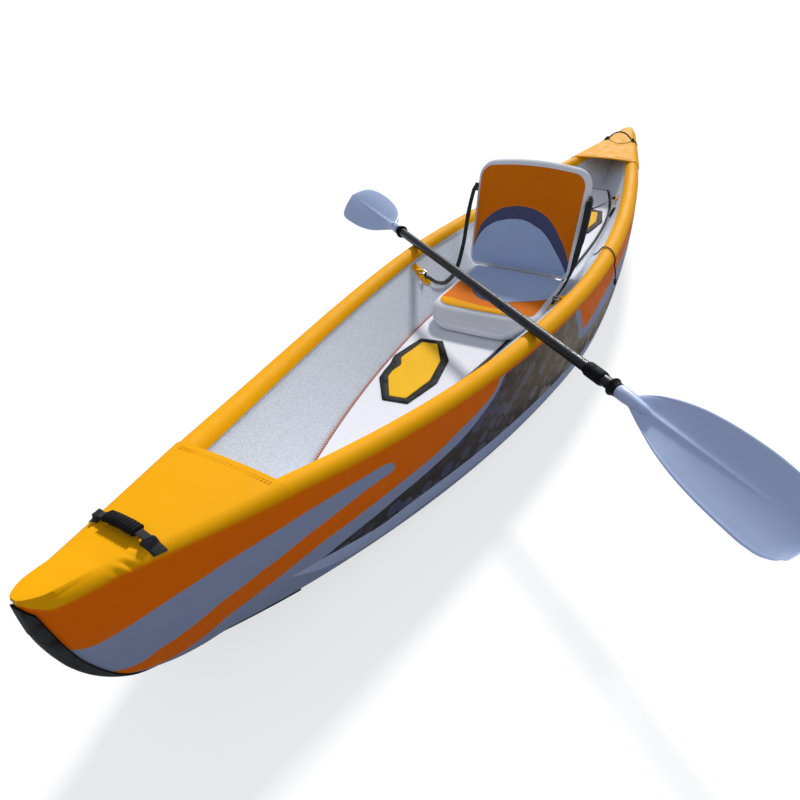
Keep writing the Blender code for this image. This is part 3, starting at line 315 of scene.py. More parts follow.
@dataclass(frozen=True)
class Webbing(Finish):
    """Flat woven webbing with ribs along it and selvedges."""

    pitch: float = 0.0022

    def build(self, graph: Graph) -> bpy.types.Material:
        """Return ribbed webbing.

        Args:
            graph: The material's nodes.

        Returns:
            The material.
        """
        along, across, _ = graph.place()
        ribs = graph.wave(across, self.pitch)
        slant = graph.wave(graph.math("ADD", along, across), self.pitch * 0.9)
        height = graph.math("MULTIPLY_ADD", graph.math("ADD", ribs, slant), 0.25, 0.5)
        graph.bump(height, 0.0004)
        # The rib crests are painted lighter than the hollows between them: painted highlight.
        light = tuple(c * 2.1 + 0.01 for c in self.colour)
        return graph.finish(graph.mix(height, self.colour, light), self.roughness, Specular_IOR_Level=0.3)


@dataclass(frozen=True)
class Plastic(Finish):
    """Moulded plastic with a fine skin and scuffs."""

    skin: float = 0.00006
    coat: float = 0.0
    shine: float = 0.5

    def build(self, graph: Graph) -> bpy.types.Material:
        """Return moulded plastic.

        Args:
            graph: The material's nodes.

        Returns:
            The material.
        """
        graph.bump(graph.grain(0.0025, 4.0), self.skin)
        worn = min(1.0, self.roughness + 0.22)
        scuffs = graph.span(graph.grain(0.02, 6.0), 0.45, 0.75, self.roughness, worn)
        colour = self.shade(graph, 0.06, 0.04)
        return graph.finish(colour, scuffs, Coat_Weight=self.coat, Specular_IOR_Level=self.shine)


@dataclass(frozen=True)
class Steel(Finish):
    """Brushed stainless steel."""

    def build(self, graph: Graph) -> bpy.types.Material:
        """Return brushed steel.

        Args:
            graph: The material's nodes.

        Returns:
            The material.
        """
        brushed = graph.grain(0.002, 2.0, (0.1, 1.0, 1.0))
        rough = graph.span(brushed, 0.3, 0.7, self.roughness - 0.08, self.roughness + 0.1)
        return graph.finish(self.shade(graph, 0.01, 0.05), rough, Metallic=1.0)


@dataclass(frozen=True)
class Foam(Finish):
    """Closed foam with a fine embossed face."""

    pitch: float = 0.009
    depth: float = 0.0003

    def build(self, graph: Graph) -> bpy.types.Material:
        """Return embossed foam.

        Args:
            graph: The material's nodes.

        Returns:
            The material.
        """
        along, across, _ = graph.place()
        first = graph.wave(graph.math("ADD", along, across), self.pitch)
        second = graph.wave(graph.math("SUBTRACT", along, across), self.pitch)
        pressed = graph.math("MINIMUM", graph.math("ABSOLUTE", first), graph.math("ABSOLUTE", second))
        lines = graph.span(pressed, 0.0, 0.25, 0.0, 1.0)
        graph.bump(graph.math("ADD", lines, graph.math("MULTIPLY", graph.grain(0.002), 0.3)), self.depth)
        # The pressed grooves are painted seven per cent darker: painted shade in the grooves.
        colour = graph.mix(lines, dimmed(self.colour, 0.93), self.shade(graph, 0.2, 0.02))
        return graph.finish(colour, self.roughness, Specular_IOR_Level=0.2)


@dataclass(frozen=True)
class HullPrint(Finish):
    """The fabric of the hull: orange gunwales and printed sides, with sunlight and shade painted in, and
    brushed inner walls.

    The print reads the place along the hull and the girth, which is 0 at the chine, 1 where the gunwale
    starts, 2 at its inner side and 3 at the floor.
    """

    wall_from: float = 1.93
    orange_bow: tuple = (
        (0.698, 1.04), (0.72, 0.93), (0.79, 0.84), (0.874, 0.78), (0.952, 0.71), (1.089, 0.64),
        (1.21, 0.57), (1.318, 0.5), (1.416, 0.4), (1.504, 0.3), (1.588, 0.19), (1.661, 0.12), (1.76, 0.02))
    orange_stern: tuple = (
        (-1.76, 0.0), (-1.65, 0.12), (-1.5, 0.3), (-1.3, 0.47), (-1.0, 0.66), (-0.7, 0.79), (-0.45, 0.86),
        (-0.266, 0.857), (-0.172, 0.81), (-0.054, 0.79), (0.012, 0.748), (0.071, 0.706), (0.129, 0.682),
        (0.16, 0.772), (0.181, 0.911), (0.202, 1.04))
    night_bow: tuple = (
        (0.668, 1.04), (0.699, 0.93), (0.725, 0.87), (0.789, 0.76), (0.869, 0.66), (0.948, 0.6),
        (1.019, 0.55), (1.087, 0.51), (1.15, 0.46), (1.21, 0.42), (1.265, 0.375), (1.312, 0.325))
    night_stern: tuple = (
        (-1.25, 0.3), (-1.1, 0.38), (-0.9, 0.46), (-0.6, 0.55), (-0.3, 0.6), (-0.158, 0.6), (-0.034, 0.575),
        (0.094, 0.56), (0.149, 0.569), (0.19, 0.75), (0.228, 0.95), (0.24, 1.04))
    night_low: tuple = (
        (-1.25, 0.3), (-0.9, 0.26), (-0.2, 0.25), (0.09, 0.27), (0.277, 0.3), (0.5, 0.32), (0.95, 0.33),
        (1.08, 0.31), (1.143, 0.29), (1.205, 0.3), (1.265, 0.315), (1.312, 0.325))
    # Lower edge of the strip of painted light along the chine.
    sill_low: tuple = (
        (-1.25, 0.22), (-0.6, 0.12), (0.3, 0.13), (0.9, 0.16), (1.18, 0.14), (1.25, 0.16), (1.385, 0.31))
    stripe_high: tuple = (
        (1.105, 0.835), (1.112, 0.875), (1.135, 0.9), (1.206, 0.895), (1.309, 0.87), (1.403, 0.84),
        (1.487, 0.81), (1.564, 0.77), (1.634, 0.725), (1.7, 0.63), (1.731, 0.55), (1.8, 0.3))
    stripe_low: tuple = (
        (1.105, 0.835), (1.112, 0.805), (1.151, 0.79), (1.21, 0.76), (1.265, 0.72), (1.316, 0.68),
        (1.365, 0.64), (1.412, 0.59), (1.457, 0.55), (1.5, 0.5), (1.541, 0.46), (1.582, 0.41), (1.62, 0.36),
        (1.655, 0.31), (1.691, 0.2), (1.76, 0.06))
    spot_pitch: tuple[float, float] = (0.076, 0.044)

    def spots(self, graph: Graph, along: Socket, height: Socket) -> Socket:
        """Return one inside scattered blunt hexagons.

        Args:
            graph: The material's nodes.
            along: The place along the hull in metres.
            height: The place round the hull in metres.

        Returns:
            The output.
        """
        long, tall = self.spot_pitch
        bent = graph.math("ADD", height, graph.math("MULTIPLY", along, 0.10))
        layers = []
        for shift in (0.0, 0.5):
            column = graph.math("ADD", graph.math("DIVIDE", along, long), shift)
            row = graph.math("ADD", graph.math("DIVIDE", bent, tall), shift)
            cell = {0: graph.math("FLOOR", column), 1: graph.math("FLOOR", row), 2: shift}
            key = graph.node("ShaderNodeCombineXYZ", cell).outputs[0]
            chance = graph.node("ShaderNodeTexWhiteNoise", {"Vector": key}).outputs[0]
            aside = graph.away(graph.math("FRACT", column), 0.5)
            up = graph.away(graph.math("FRACT", row), 0.5)
            slant = graph.math("ADD", graph.math("MULTIPLY", aside, 3.0), graph.math("MULTIPLY", up, 0.9))
            reach = graph.math("SMOOTH_MAX", slant, graph.math("MULTIPLY", up, 2.3), 0.25)
            radius = graph.span(chance, 0.38, 0.85, 0.62, 0.98)
            strength = graph.span(chance, 0.36, 0.9, 0.35, 1.0)
            layers.append(graph.both(graph.under(reach, radius), graph.over(chance, 0.36), strength))
        return graph.math("MAXIMUM", *layers)

    def build(self, graph: Graph) -> bpy.types.Material:
        """Return the printed hull.

        Args:
            graph: The material's nodes.

        Returns:
            The material.
        """
        along, height, girth = graph.place()
        wobble = graph.math("MULTIPLY", graph.math("SUBTRACT", graph.grain(0.02, 2.0), 0.5), 0.006)
        girth = graph.math("ADD", girth, wobble)
        sides = self.side_cloth(graph, along, height, girth)
        patches = graph.grain(0.25, 3.0)
        # Painted sunlight and shade: the gunwale's top takes the sunlit orange. The cloth below the light's
        # edge, at girth 1.06 to 1.16 and a little higher towards the bow, takes the side's colour with its
        # deeper orange, which is painted shade.
        sunlit_top = graph.mix(patches, dimmed(SUNLIT_ORANGE, 0.95), SUNLIT_ORANGE)
        shade_edge_girth = graph.math("SUBTRACT", girth, graph.span(along, 1.2, 1.7, 0.0, 0.07))
        colour = graph.mix(graph.span(shade_edge_girth, 1.06, 1.16, 0.0, 1.0), sides, sunlit_top)
        wall = graph.over(girth, self.wall_from)
        streaks = graph.grain(0.0034, 2.0, (0.30, 1.0, 1.5))
        brushed = graph.mix(graph.span(streaks, 0.36, 0.64, 0.0, 1.0), dimmed(WALL_GREY, 0.84), WALL_GREY)
        colour = graph.mix(wall, colour, brushed)
        seam = graph.math("MULTIPLY", graph.under(graph.away(girth, self.wall_from), 0.012), 0.6)
        colour = graph.mix(seam, colour, dimmed(SHADED_ORANGE, 0.4))
        pressed = graph.math("MULTIPLY", graph.math("MULTIPLY", streaks, wall), 1.6)
        graph.bump(graph.math("ADD", graph.math("MULTIPLY", graph.weave(0.0022), 0.35), pressed), 0.0005)
        rough = graph.span(graph.grain(0.04), 0.3, 0.7, 0.50, 0.64)
        rough = graph.math("MAXIMUM", rough, graph.math("MULTIPLY", wall, 0.85))
        return graph.finish(colour, rough, Specular_IOR_Level=0.06)

    def side_cloth(self, graph: Graph, along: Socket, height: Socket, girth: Socket) -> Socket:
        """Return the colour of the printed outer side: orange deepened as painted shade, spots, stripes, the
        grey below and a paler strip of painted light along the chine.

        Args:
            graph: The material's nodes.
            along: The place along the hull in metres.
            height: The place round the hull in metres.
            girth: The place round the hull in zones.

        Returns:
            The output.
        """
        fore = graph.over(along, 0.45)
        aft = graph.math("SUBTRACT", 1.0, fore)

        def joined(stern: tuple, bow: tuple) -> Socket:
            """Return one where the girth is over either line.

            Args:
                stern: The line in the stern half, as rows of place and girth.
                bow: The same for the bow half.

            Returns:
                The output.
            """
            ends = [graph.both(end, graph.over(girth, graph.edge(along, line)))
                    for end, line in ((fore, bow), (aft, stern))]
            return graph.math("MAXIMUM", *ends)

        orange = joined(self.orange_stern, self.orange_bow)
        night = graph.math("SUBTRACT", 1.0, joined(self.night_stern, self.night_bow))
        low = graph.edge(along, self.night_low)
        night = graph.both(night, graph.over(girth, low), graph.under(graph.away(along, 0.031), 1.281))
        # A paler strip between the dark band and the chine, painted light where the chine turns up to the
        # sky.
        lit_sill = graph.both(graph.over(girth, graph.edge(along, self.sill_low)), graph.under(girth, low),
                          graph.under(along, 1.385))
        end = graph.math("ABSOLUTE", along)
        stripe = graph.both(graph.under(girth, graph.edge(end, self.stripe_high)),
                            graph.over(girth, graph.edge(end, self.stripe_low)), graph.over(end, 1.105))
        depth = graph.span(graph.math("SUBTRACT", girth, low), 0.02, 0.34, 0.12, 1.0)
        fade = graph.math("MULTIPLY", graph.span(along, 0.05, 0.95, 1.0, 0.12), depth)
        spot = graph.mix(graph.span(along, 0.2, 0.95, 1.0, 0.0), NIGHT_SPOT, TAUPE_SPOT)
        dark = graph.mix(self.spots(graph, along, height), graph.mix(fade, NIGHT, TAUPE), spot)
        colour = graph.mix(lit_sill, SHADED_HULL_GREY, PAINTED_CHINE_LIGHT)
        colour = graph.mix(graph.span(girth, 0.0, 0.6, 0.86, 1.0), dimmed(SHADED_HULL_GREY, 0.6), colour)
        colour = graph.mix(night, colour, dark)
        # The side's orange print is painted deeper than the gunwale's top: painted shade.
        deep = graph.mix(graph.grain(0.25, 3.0), dimmed(SHADED_ORANGE, 0.93), SHADED_ORANGE)
        return graph.mix(stripe, graph.mix(orange, colour, deep), SHADED_HULL_GREY)


@dataclass(frozen=True)
class BackPrint(Finish):
    """The printed face of the backrest: orange with a dark arch over a pale dome."""

    outer: tuple = (
        (-0.205, 0.075), (-0.184, 0.15), (-0.148, 0.195), (-0.111, 0.222), (-0.07, 0.237), (-0.025, 0.243),
        (0.02, 0.24), (0.06, 0.228), (0.097, 0.205), (0.136, 0.163), (0.178, 0.103), (0.207, 0.045))
    inner: tuple = (
        (-0.205, 0.07), (-0.179, 0.125), (-0.142, 0.162), (-0.084, 0.187), (-0.03, 0.196), (0.01, 0.192),
        (0.045, 0.18), (0.092, 0.15), (0.139, 0.1), (0.179, 0.05), (0.207, 0.0))

    def build(self, graph: Graph) -> bpy.types.Material:
        """Return the print.

        Args:
            graph: The material's nodes.

        Returns:
            The material.
        """
        across, up, _ = graph.place()
        dark, pale = (graph.under(up, graph.edge(across, line)) for line in (self.outer, self.inner))
        return print_cloth(graph, dark, pale, self.roughness)


@dataclass(frozen=True)
class SeatPrint(Finish):
    """The printed top of the cushion: orange in front of a pale panel with a dark arch."""

    outer: tuple = (
        (-0.175, -0.06), (-0.13, 0.01), (-0.105, 0.053), (-0.065, 0.116), (-0.018, 0.151), (0.028, 0.153),
        (0.084, 0.121), (0.14, 0.07), (0.165, 0.03))
    inner: tuple = (
        (-0.175, -0.08), (-0.13, -0.01), (-0.09, 0.053), (-0.036, 0.108), (0.008, 0.13), (0.045, 0.138),
        (0.084, 0.117), (0.14, 0.066), (0.165, 0.026))
    border: float = 0.172
    shift: float = 0.016
    # The edge of the painted sunlit band along the cushion's front.
    front: tuple = (
        (-0.21, 0.152), (-0.165, 0.162), (-0.134, 0.168), (-0.06, 0.184), (0.0, 0.19), (0.09, 0.194),
        (0.15, 0.192), (0.21, 0.18))

    def build(self, graph: Graph) -> bpy.types.Material:
        """Return the print.

        Args:
            graph: The material's nodes.

        Returns:
            The material.
        """
        along, across, _ = graph.place()
        along = graph.math("ADD", along, self.shift)
        dark, pale = (graph.under(along, graph.edge(across, line)) for line in (self.outer, self.inner))
        pale = graph.math("MAXIMUM", pale, graph.over(across, self.border))
        # The yellow band along the front is painted sunlight.
        line = graph.over(along, graph.edge(across, self.front))
        return print_cloth(graph, graph.math("MAXIMUM", dark, pale), pale, self.roughness, line)


def print_cloth(graph: Graph, dark: Socket, pale: Socket, roughness: float,
                line: object = 0.0) -> bpy.types.Material:
    """Finish a printed seat cover.

    Args:
        graph: The material's nodes.
        dark: One where the dark arch is.
        pale: One where the pale field is.
        roughness: The cloth's roughness.
        line: One where the yellow front band is, painted sunlight on the orange cloth.

    Returns:
        The material.
    """
    patches = graph.grain(0.07, 3.0)
    # The front band takes the sunlit yellow: painted light.
    orange = graph.mix(line, graph.mix(patches, dimmed(SEAT_ORANGE, 0.9), SEAT_ORANGE), SUNLIT_FRONT_YELLOW)
    field = graph.mix(patches, dimmed(PALE_BLUE, 0.92), PALE_BLUE)
    colour = graph.mix(pale, graph.mix(dark, orange, NAVY), field)
    folds = graph.math("MULTIPLY", graph.grain(0.006), 1.5)
    graph.bump(graph.math("ADD", graph.weave(0.0024), folds), 0.0003)
    return graph.finish(colour, roughness, Specular_IOR_Level=0.08)


@dataclass(frozen=True)
class PipingFinish(Finish):
    """Mat piping: black to port, and pale with red-brown stitches to starboard."""

    def build(self, graph: Graph) -> bpy.types.Material:
        """Return the piping.

        Args:
            graph: The material's nodes.

        Returns:
            The material.
        """
        along, _, side = graph.place()
        starboard = graph.mix(graph.over(graph.wave(along, 0.011), -0.55), PALE_PIPE, RED_STITCH)
        graph.bump(graph.wave(along, 0.003), 0.0003)
        return graph.finish(graph.mix(graph.over(side, 0.0), starboard, BLACK), self.roughness)


ORANGE_CLOTH = Fabric("orange_coated_cloth", SUNLIT_ORANGE, 0.56)
PRINTED_HULL = HullPrint("printed_hull_cloth", SUNLIT_ORANGE, 0.56)
PALE_VINYL = Fabric("pale_floor_vinyl", WALL_GREY, 0.6)
MAT_FOAM = Foam("white_floor_foam", FLOOR_WHITE, 0.75)
PAD_FOAM = Foam("yellow_pad_foam", PAD_YELLOW, 0.75, 0.005, 0.0002)
RIM_CLOTH = Fabric("white_seat_cloth", RIM_WHITE, 0.7, 0.0024, 0.0002)
SEAT_CLOTH = SeatPrint("printed_seat_cloth", SEAT_ORANGE, 0.72)
BACK_CLOTH = BackPrint("printed_back_cloth", SEAT_ORANGE, 0.72)
BLACK_WEB = Webbing("black_ribbed_webbing", BLACK, 0.75)
BLACK_RUBBER = Plastic("black_moulded_rubber", RUBBER, 0.68, 0.0002, 0.0, 0.16)
BLACK_PLASTIC = Plastic("black_moulded_plastic", BLACK, 0.38)
SHAFT_COAT = Plastic("dark_shaft_coat", SHAFT, 0.42, 0.00002, 0.05, 0.3)
# The blade's blue tint is painted shade.
BLADE_PLASTIC = Plastic("pale_blade_plastic", SKY_SHADED_BLADE, 0.36, 0.00005)
STAINLESS = Steel("brushed_stainless", tone(214, 216, 219), 0.28)
PIPING = PipingFinish("mat_piping_cloth", BLACK, 0.7)
SEAM_THREAD = Fabric("seam_thread", tone(206, 112, 10), 0.7)


# Meshes

def link(name: str, data: bpy.types.ID) -> Object:
    """Return a new object of the data, linked to the scene.

    Args:
        name: The object's name.
        data: Its mesh, curve, lamp or camera.

    Returns:
        The object.
    """
    made = bpy.data.objects.new(name, data)
    bpy.context.scene.collection.objects.link(made)
    return made


def from_points(name: str, points: np.ndarray, faces: Sequence[Sequence[int]]) -> Object:
    """Return an object of points and faces.

    Args:
        name: The object's name.
        points: The points, one row each.
        faces: The faces' point numbers.

    Returns:
        The object.
    """
    data = bpy.data.meshes.new(name)
    data.from_pydata(np.asarray(points, float).reshape(-1, 3).tolist(), [], faces)
    data.update()
    return link(name, data)


def store(piece: Object, values: np.ndarray) -> None:
    """Store three values at each point of a mesh."""
    kept = piece.data.attributes.get("cloth") or piece.data.attributes.new("cloth", "FLOAT_VECTOR", "POINT")
    kept.data.foreach_set("vector", np.asarray(values, np.float32).reshape(-1))


def stored(piece: Object) -> np.ndarray:
    """Return what is stored at a mesh's points, one row each.

    Args:
        piece: The piece.

    Returns:
        The rows of its cloth attribute.
    """
    kept = piece.data.attributes["cloth"].data
    flat = np.zeros(len(kept) * 3, np.float32)
    kept.foreach_get("vector", flat)
    return flat.reshape(-1, 3)


def points_of(piece: Object) -> np.ndarray:
    """Return a mesh's points, one row each.

    Args:
        piece: The piece.

    Returns:
        The rows of x, y and z.
    """
    flat = np.zeros(len(piece.data.vertices) * 3)
    piece.data.vertices.foreach_get("co", flat)
    return flat.reshape(-1, 3)


def shade(piece: Object, sharp: float) -> None:
    """Shade a mesh smooth, with edges over an angle in degrees left sharp."""
    piece.data.shade_smooth()
    piece.data.set_sharp_from_angle(angle=math.radians(sharp))


def close_up(piece: Object, sharp: float) -> Object:
    """Weld a mesh, turn its faces outward and shade it smooth.

    Args:
        piece: The object.
        sharp: Edges over this angle in degrees stay sharp.

    Returns:
        The object.
    """
    mesh = bmesh.new()
    mesh.from_mesh(piece.data)
    bmesh.ops.remove_doubles(mesh, verts=mesh.verts, dist=1e-6)
    bmesh.ops.dissolve_degenerate(mesh, edges=mesh.edges, dist=1e-7)
    bmesh.ops.recalc_face_normals(mesh, faces=mesh.faces)
    mesh.to_mesh(piece.data)
    mesh.free()
    shade(piece, sharp)
    return piece


def loft(name: str, rings: np.ndarray, cyclic: bool = False, cloth: np.ndarray | None = None,
         sharp: float = 50.0) -> Object:
    """Join rows of points, each closed on itself, with four-sided faces.

    Args:
        name: The object's name.
        rings: The rows, as (row, point, coordinate).
        cyclic: Whether the last row joins the first. Otherwise both are filled.
        cloth: What is stored at each point.
        sharp: Edges over this angle in degrees stay sharp.

    Returns:
        The object.
    """
    rings = np.asarray(rings, float)
    rows, count = rings.shape[:2]
    faces = []
    for i in range(rows if cyclic else rows - 1):
        for j in range(count):
            a, b = i * count, ((i + 1) % rows) * count
            k = (j + 1) % count
            faces.append((a + j, b + j, b + k, a + k))
    if not cyclic:
        faces.append(tuple(range(count)))
        faces.append(tuple((rows - 1) * count + j for j in reversed(range(count))))
    piece = from_points(name, rings, faces)
    if cloth is None:
        cloth = np.zeros_like(rings)
        for axis in (0, 1):
            before = rings[:1] if axis == 0 else rings[:, :1]
            steps = np.linalg.norm(np.diff(rings, axis=axis, prepend=before), axis=2).mean(axis=1 - axis)
            cloth[..., axis] = np.expand_dims(steps.cumsum(), 1 - axis)
    store(piece, cloth)
    return close_up(piece, sharp)


def turned(name: str, profile: Sequence[tuple[float, float]], matrix: Matrix, steps: int = 56,
           lobes: int = 0, depth: float = 0.0) -> Object:
    """Turn a closed profile round the local Z axis.

    Args:
        name: The object's name.
        profile: The (radius, height) points.
        matrix: Where it stands.
        steps: How many faces go round.
        lobes: How many grips the outer face has.
        depth: How deep the grips are.

    Returns:
        The object.
    """
    widest = max(radius for radius, _ in profile)
    rings = []
    for k in range(steps):
        angle = math.tau * k / steps
        dent = depth * (0.5 + 0.5 * math.cos(lobes * angle)) if lobes else 0.0
        reaches = [(radius - dent if radius > 0.9 * widest else radius, height) for radius, height in profile]
        rings.append([matrix @ Vector((r * math.cos(angle), r * math.sin(angle), h)) for r, h in reaches])
    return loft(name, np.array(rings), cyclic=True, sharp=38.0)


def tube(name: str, path: Sequence[Vector], radius: float, count: int = 12, cyclic: bool = False) -> Object:
    """Sweep a round section along points.

    Args:
        name: The object's name.
        path: The points.
        radius: The section's radius.
        count: How many faces go round.
        cyclic: Whether the path is closed.

    Returns:
        The object.
    """
    path = [Vector(p) for p in path]
    last = len(path) - 1
    rings = []
    across = None
    for k, point in enumerate(path):
        before = path[k - 1] if cyclic or k else path[0]
        after = path[(k + 1) % len(path)] if cyclic or k < last else path[last]
        ahead = (after - before).normalized()
        across = across or ahead.orthogonal().normalized()
        across = (across - ahead * across.dot(ahead)).normalized()
        other = ahead.cross(across)
        rings.append([point + (across * math.cos(a) + other * math.sin(a)) * radius
                      for a in (math.tau * j / count for j in range(count))])
    return loft(name, np.array(rings), cyclic=cyclic, sharp=60.0)


def smooth_table(place: float, rows: Sequence[tuple[float, float]]) -> float:
    """Return the height of a smooth line through the given points at a place.

    Args:
        place: The place along the line.
        rows: The line's (place, height) points, in rising order.

    Returns:
        The height.
    """
    places, heights = zip(*rows)
    slopes = np.gradient(heights, places)
    k = int(np.clip(np.searchsorted(places, place) - 1, 0, len(rows) - 2))
    span = places[k + 1] - places[k]
    t = (place - places[k]) / span
    rise = slopes[k] * span * (t ** 3 - 2 * t * t + t) + slopes[k + 1] * span * (t ** 3 - t * t)
    return heights[k] * (2 * t ** 3 - 3 * t * t + 1) + heights[k + 1] * (3 * t * t - 2 * t ** 3) + rise


def smooth_path(points: Sequence[Vector], count: int, guide: Sequence[Vector] | None = None) -> list[Vector]:
    """Return points along a smooth curve through the given ones.

    Args:
        points: The points that it goes through.
        count: How many steps it has.
        guide: Points whose distances set its pace.

    Returns:
        The curve's points.
    """
    guide = guide or points
    knots = [0.0]
    for a, b in zip(guide, guide[1:]):
        knots.append(knots[-1] + (b - a).length)
    last = len(points) - 1
    slopes = []
    for i in range(len(points)):
        low, high = max(0, i - 1), min(last, i + 1)
        slopes.append((points[high] - points[low]) / (knots[high] - knots[low]))
    path = []
    for k in range(count + 1):
        s = knots[-1] * k / count
        i = 0
        while i < last - 1 and knots[i + 1] < s:
            i += 1
        span = knots[i + 1] - knots[i]
        t = (s - knots[i]) / span
        path.append(points[i] * (2 * t ** 3 - 3 * t * t + 1) + slopes[i] * span * (t ** 3 - 2 * t * t + t)
                    + points[i + 1] * (3 * t * t - 2 * t ** 3) + slopes[i + 1] * span * (t ** 3 - t * t))
    return path


def webbing(name: str, points: Sequence[Vector], sides: Sequence[Vector], width: float, thick: float,
            count: int = 48) -> Object:
    """Sweep flat webbing along a smooth path.

    Args:
        name: The object's name.
        points: The points that it goes through.
        sides: The direction of its width at each of them.
        width: Its width.
        thick: Its thickness.
        count: How many steps it has.

    Returns:
        The object.
    """
    points = [Vector(p) for p in points]
    path = smooth_path(points, count)
    ways = smooth_path([Vector(w) for w in sides], count, points)
    shape = []
    for way, order in ((1, range(-4, 5)), (-1, range(4, -5, -1))):
        for j in order:
            share = j / 4
            shape.append((share * width / 2, way * thick / 2 * math.sqrt(max(0.05, 1 - 0.75 * share ** 8))))
    rings = []
    cloth = []
    done = 0.0
    for k, point in enumerate(path):
        tangent = (path[min(k + 1, count)] - path[max(k - 1, 0)]).normalized()
        if k == 0:
            tangent = (points[1] - points[0]).normalized()
        if k == count:
            tangent = (points[-1] - points[-2]).normalized()
        across = (ways[k] - tangent * ways[k].dot(tangent)).normalized()
        normal = tangent.cross(across)
        rings.append([point + across * u + normal * v for u, v in shape])
        done += (path[k] - path[k - 1]).length if k else 0.0
        cloth.append([(done, u, 0.0) for u, _ in shape])
    return loft(name, np.array(rings), cloth=np.array(cloth), sharp=70.0)


def block(name: str, size: Sequence[float], matrix: Matrix, round_by: float, segments: int = 3) -> Object:
    """Return a box with rounded edges.

    Args:
        name: The object's name.
        size: Its three sizes.
        matrix: Where it stands.
        round_by: The radius of its edges.
        segments: How many faces make one round.

    Returns:
        The object.
    """
    mesh = bmesh.new()
    bmesh.ops.create_cube(mesh, size=1.0)
    bmesh.ops.scale(mesh, vec=size, verts=mesh.verts)
    bmesh.ops.bevel(mesh, geom=list(mesh.edges), offset=round_by, segments=segments, affect="EDGES",
                    profile=0.5)
    data = bpy.data.meshes.new(name)
    mesh.to_mesh(data)
    mesh.free()
    piece = link(name, data)
    store(piece, points_of(piece))
    data.transform(matrix)
    return close_up(piece, 60.0)


def carve(piece: Object, cutter: Object, operation: str = "DIFFERENCE") -> None:
    """Cut one object with another and drop the cutter.

    Args:
        piece: The object that is cut.
        cutter: The object that cuts it.
        operation: The Boolean's kind.
    """
    modifier = piece.modifiers.new("carve", "BOOLEAN")
    modifier.operation = operation
    modifier.solver = "EXACT"
    modifier.object = cutter
    apply_modifiers(piece)
    bpy.data.objects.remove(cutter, do_unlink=True)


def bore(piece: Object, matrix: Matrix, radius: float, depth: float) -> None:
    """Cut a round hole of a radius and a depth into a piece, along a matrix's Z."""
    profile = [(0.0, -depth), (radius, -depth), (radius, 0.02), (0.0, 0.02)]
    carve(piece, turned("hole", profile, matrix, 48))


def apply_modifiers(piece: Object) -> None:
    """Put the result of a mesh's modifiers into the mesh.

    Args:
        piece: The object.
    """
    bpy.context.view_layer.update()
    graph = bpy.context.evaluated_depsgraph_get()
    data = bpy.data.meshes.new_from_object(piece.evaluated_get(graph))
    old = piece.data
    piece.modifiers.clear()
    piece.data = data
    data.name = old.name
    bpy.data.meshes.remove(old)


def refine(piece: Object) -> Object:
    """Subdivide a mesh smoothly once.

    Args:
        piece: The object.

    Returns:
        The object.
    """
    piece.modifiers.new("smooth", "SUBSURF").levels = 1
    apply_modifiers(piece)
    piece.data.shade_smooth()
    return piece


def basis(origin: Sequence[float], x_axis: Sequence[float], z_axis: Sequence[float]) -> Matrix:
    """Return a matrix with its Z and, nearly, its X along the given directions.

    Args:
        origin: Its origin.
        x_axis: Roughly its X direction.
        z_axis: Its Z direction.

    Returns:
        The matrix.
    """
    z_dir = Vector(z_axis).normalized()
    y_dir = z_dir.cross(Vector(x_axis)).normalized()
    matrix = Matrix((y_dir.cross(z_dir), y_dir, z_dir)).transposed().to_4x4()
    matrix.translation = Vector(origin)
    return matrix


def join(name: str, parts: Sequence[Object]) -> Object:
    """Make one object of several.

    Args:
        name: Its name.
        parts: The objects.

    Returns:
        The object.
    """
    first, several = parts[0], list(parts)
    with bpy.context.temp_override(active_object=first, object=first, selected_objects=several,
                                   selected_editable_objects=several):
        bpy.ops.object.join()
    first.name = name
    first.data.name = name
    return first


def dress(piece: Object, finish: Finish, body: str = "hull",
          stands_for: Sequence[str] = ()) -> None:
    """Give a piece its finish, its body and the solids that it stands for.

    Args:
        piece: The piece.
        finish: What it is made of.
        body: The body that it rides on.
        stands_for: The solids that it stands for.
    """
    piece.data.materials.clear()
    piece.data.materials.append(finish.material())
    for face in getattr(piece.data, "polygons", ()):
        face.material_index = 0
    if stands_for:
        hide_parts(*stands_for)
    if body:
        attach(piece, body)
    log.info("%s: %s on %s", piece.name, finish.name, body or "two bodies")


# The hull's form

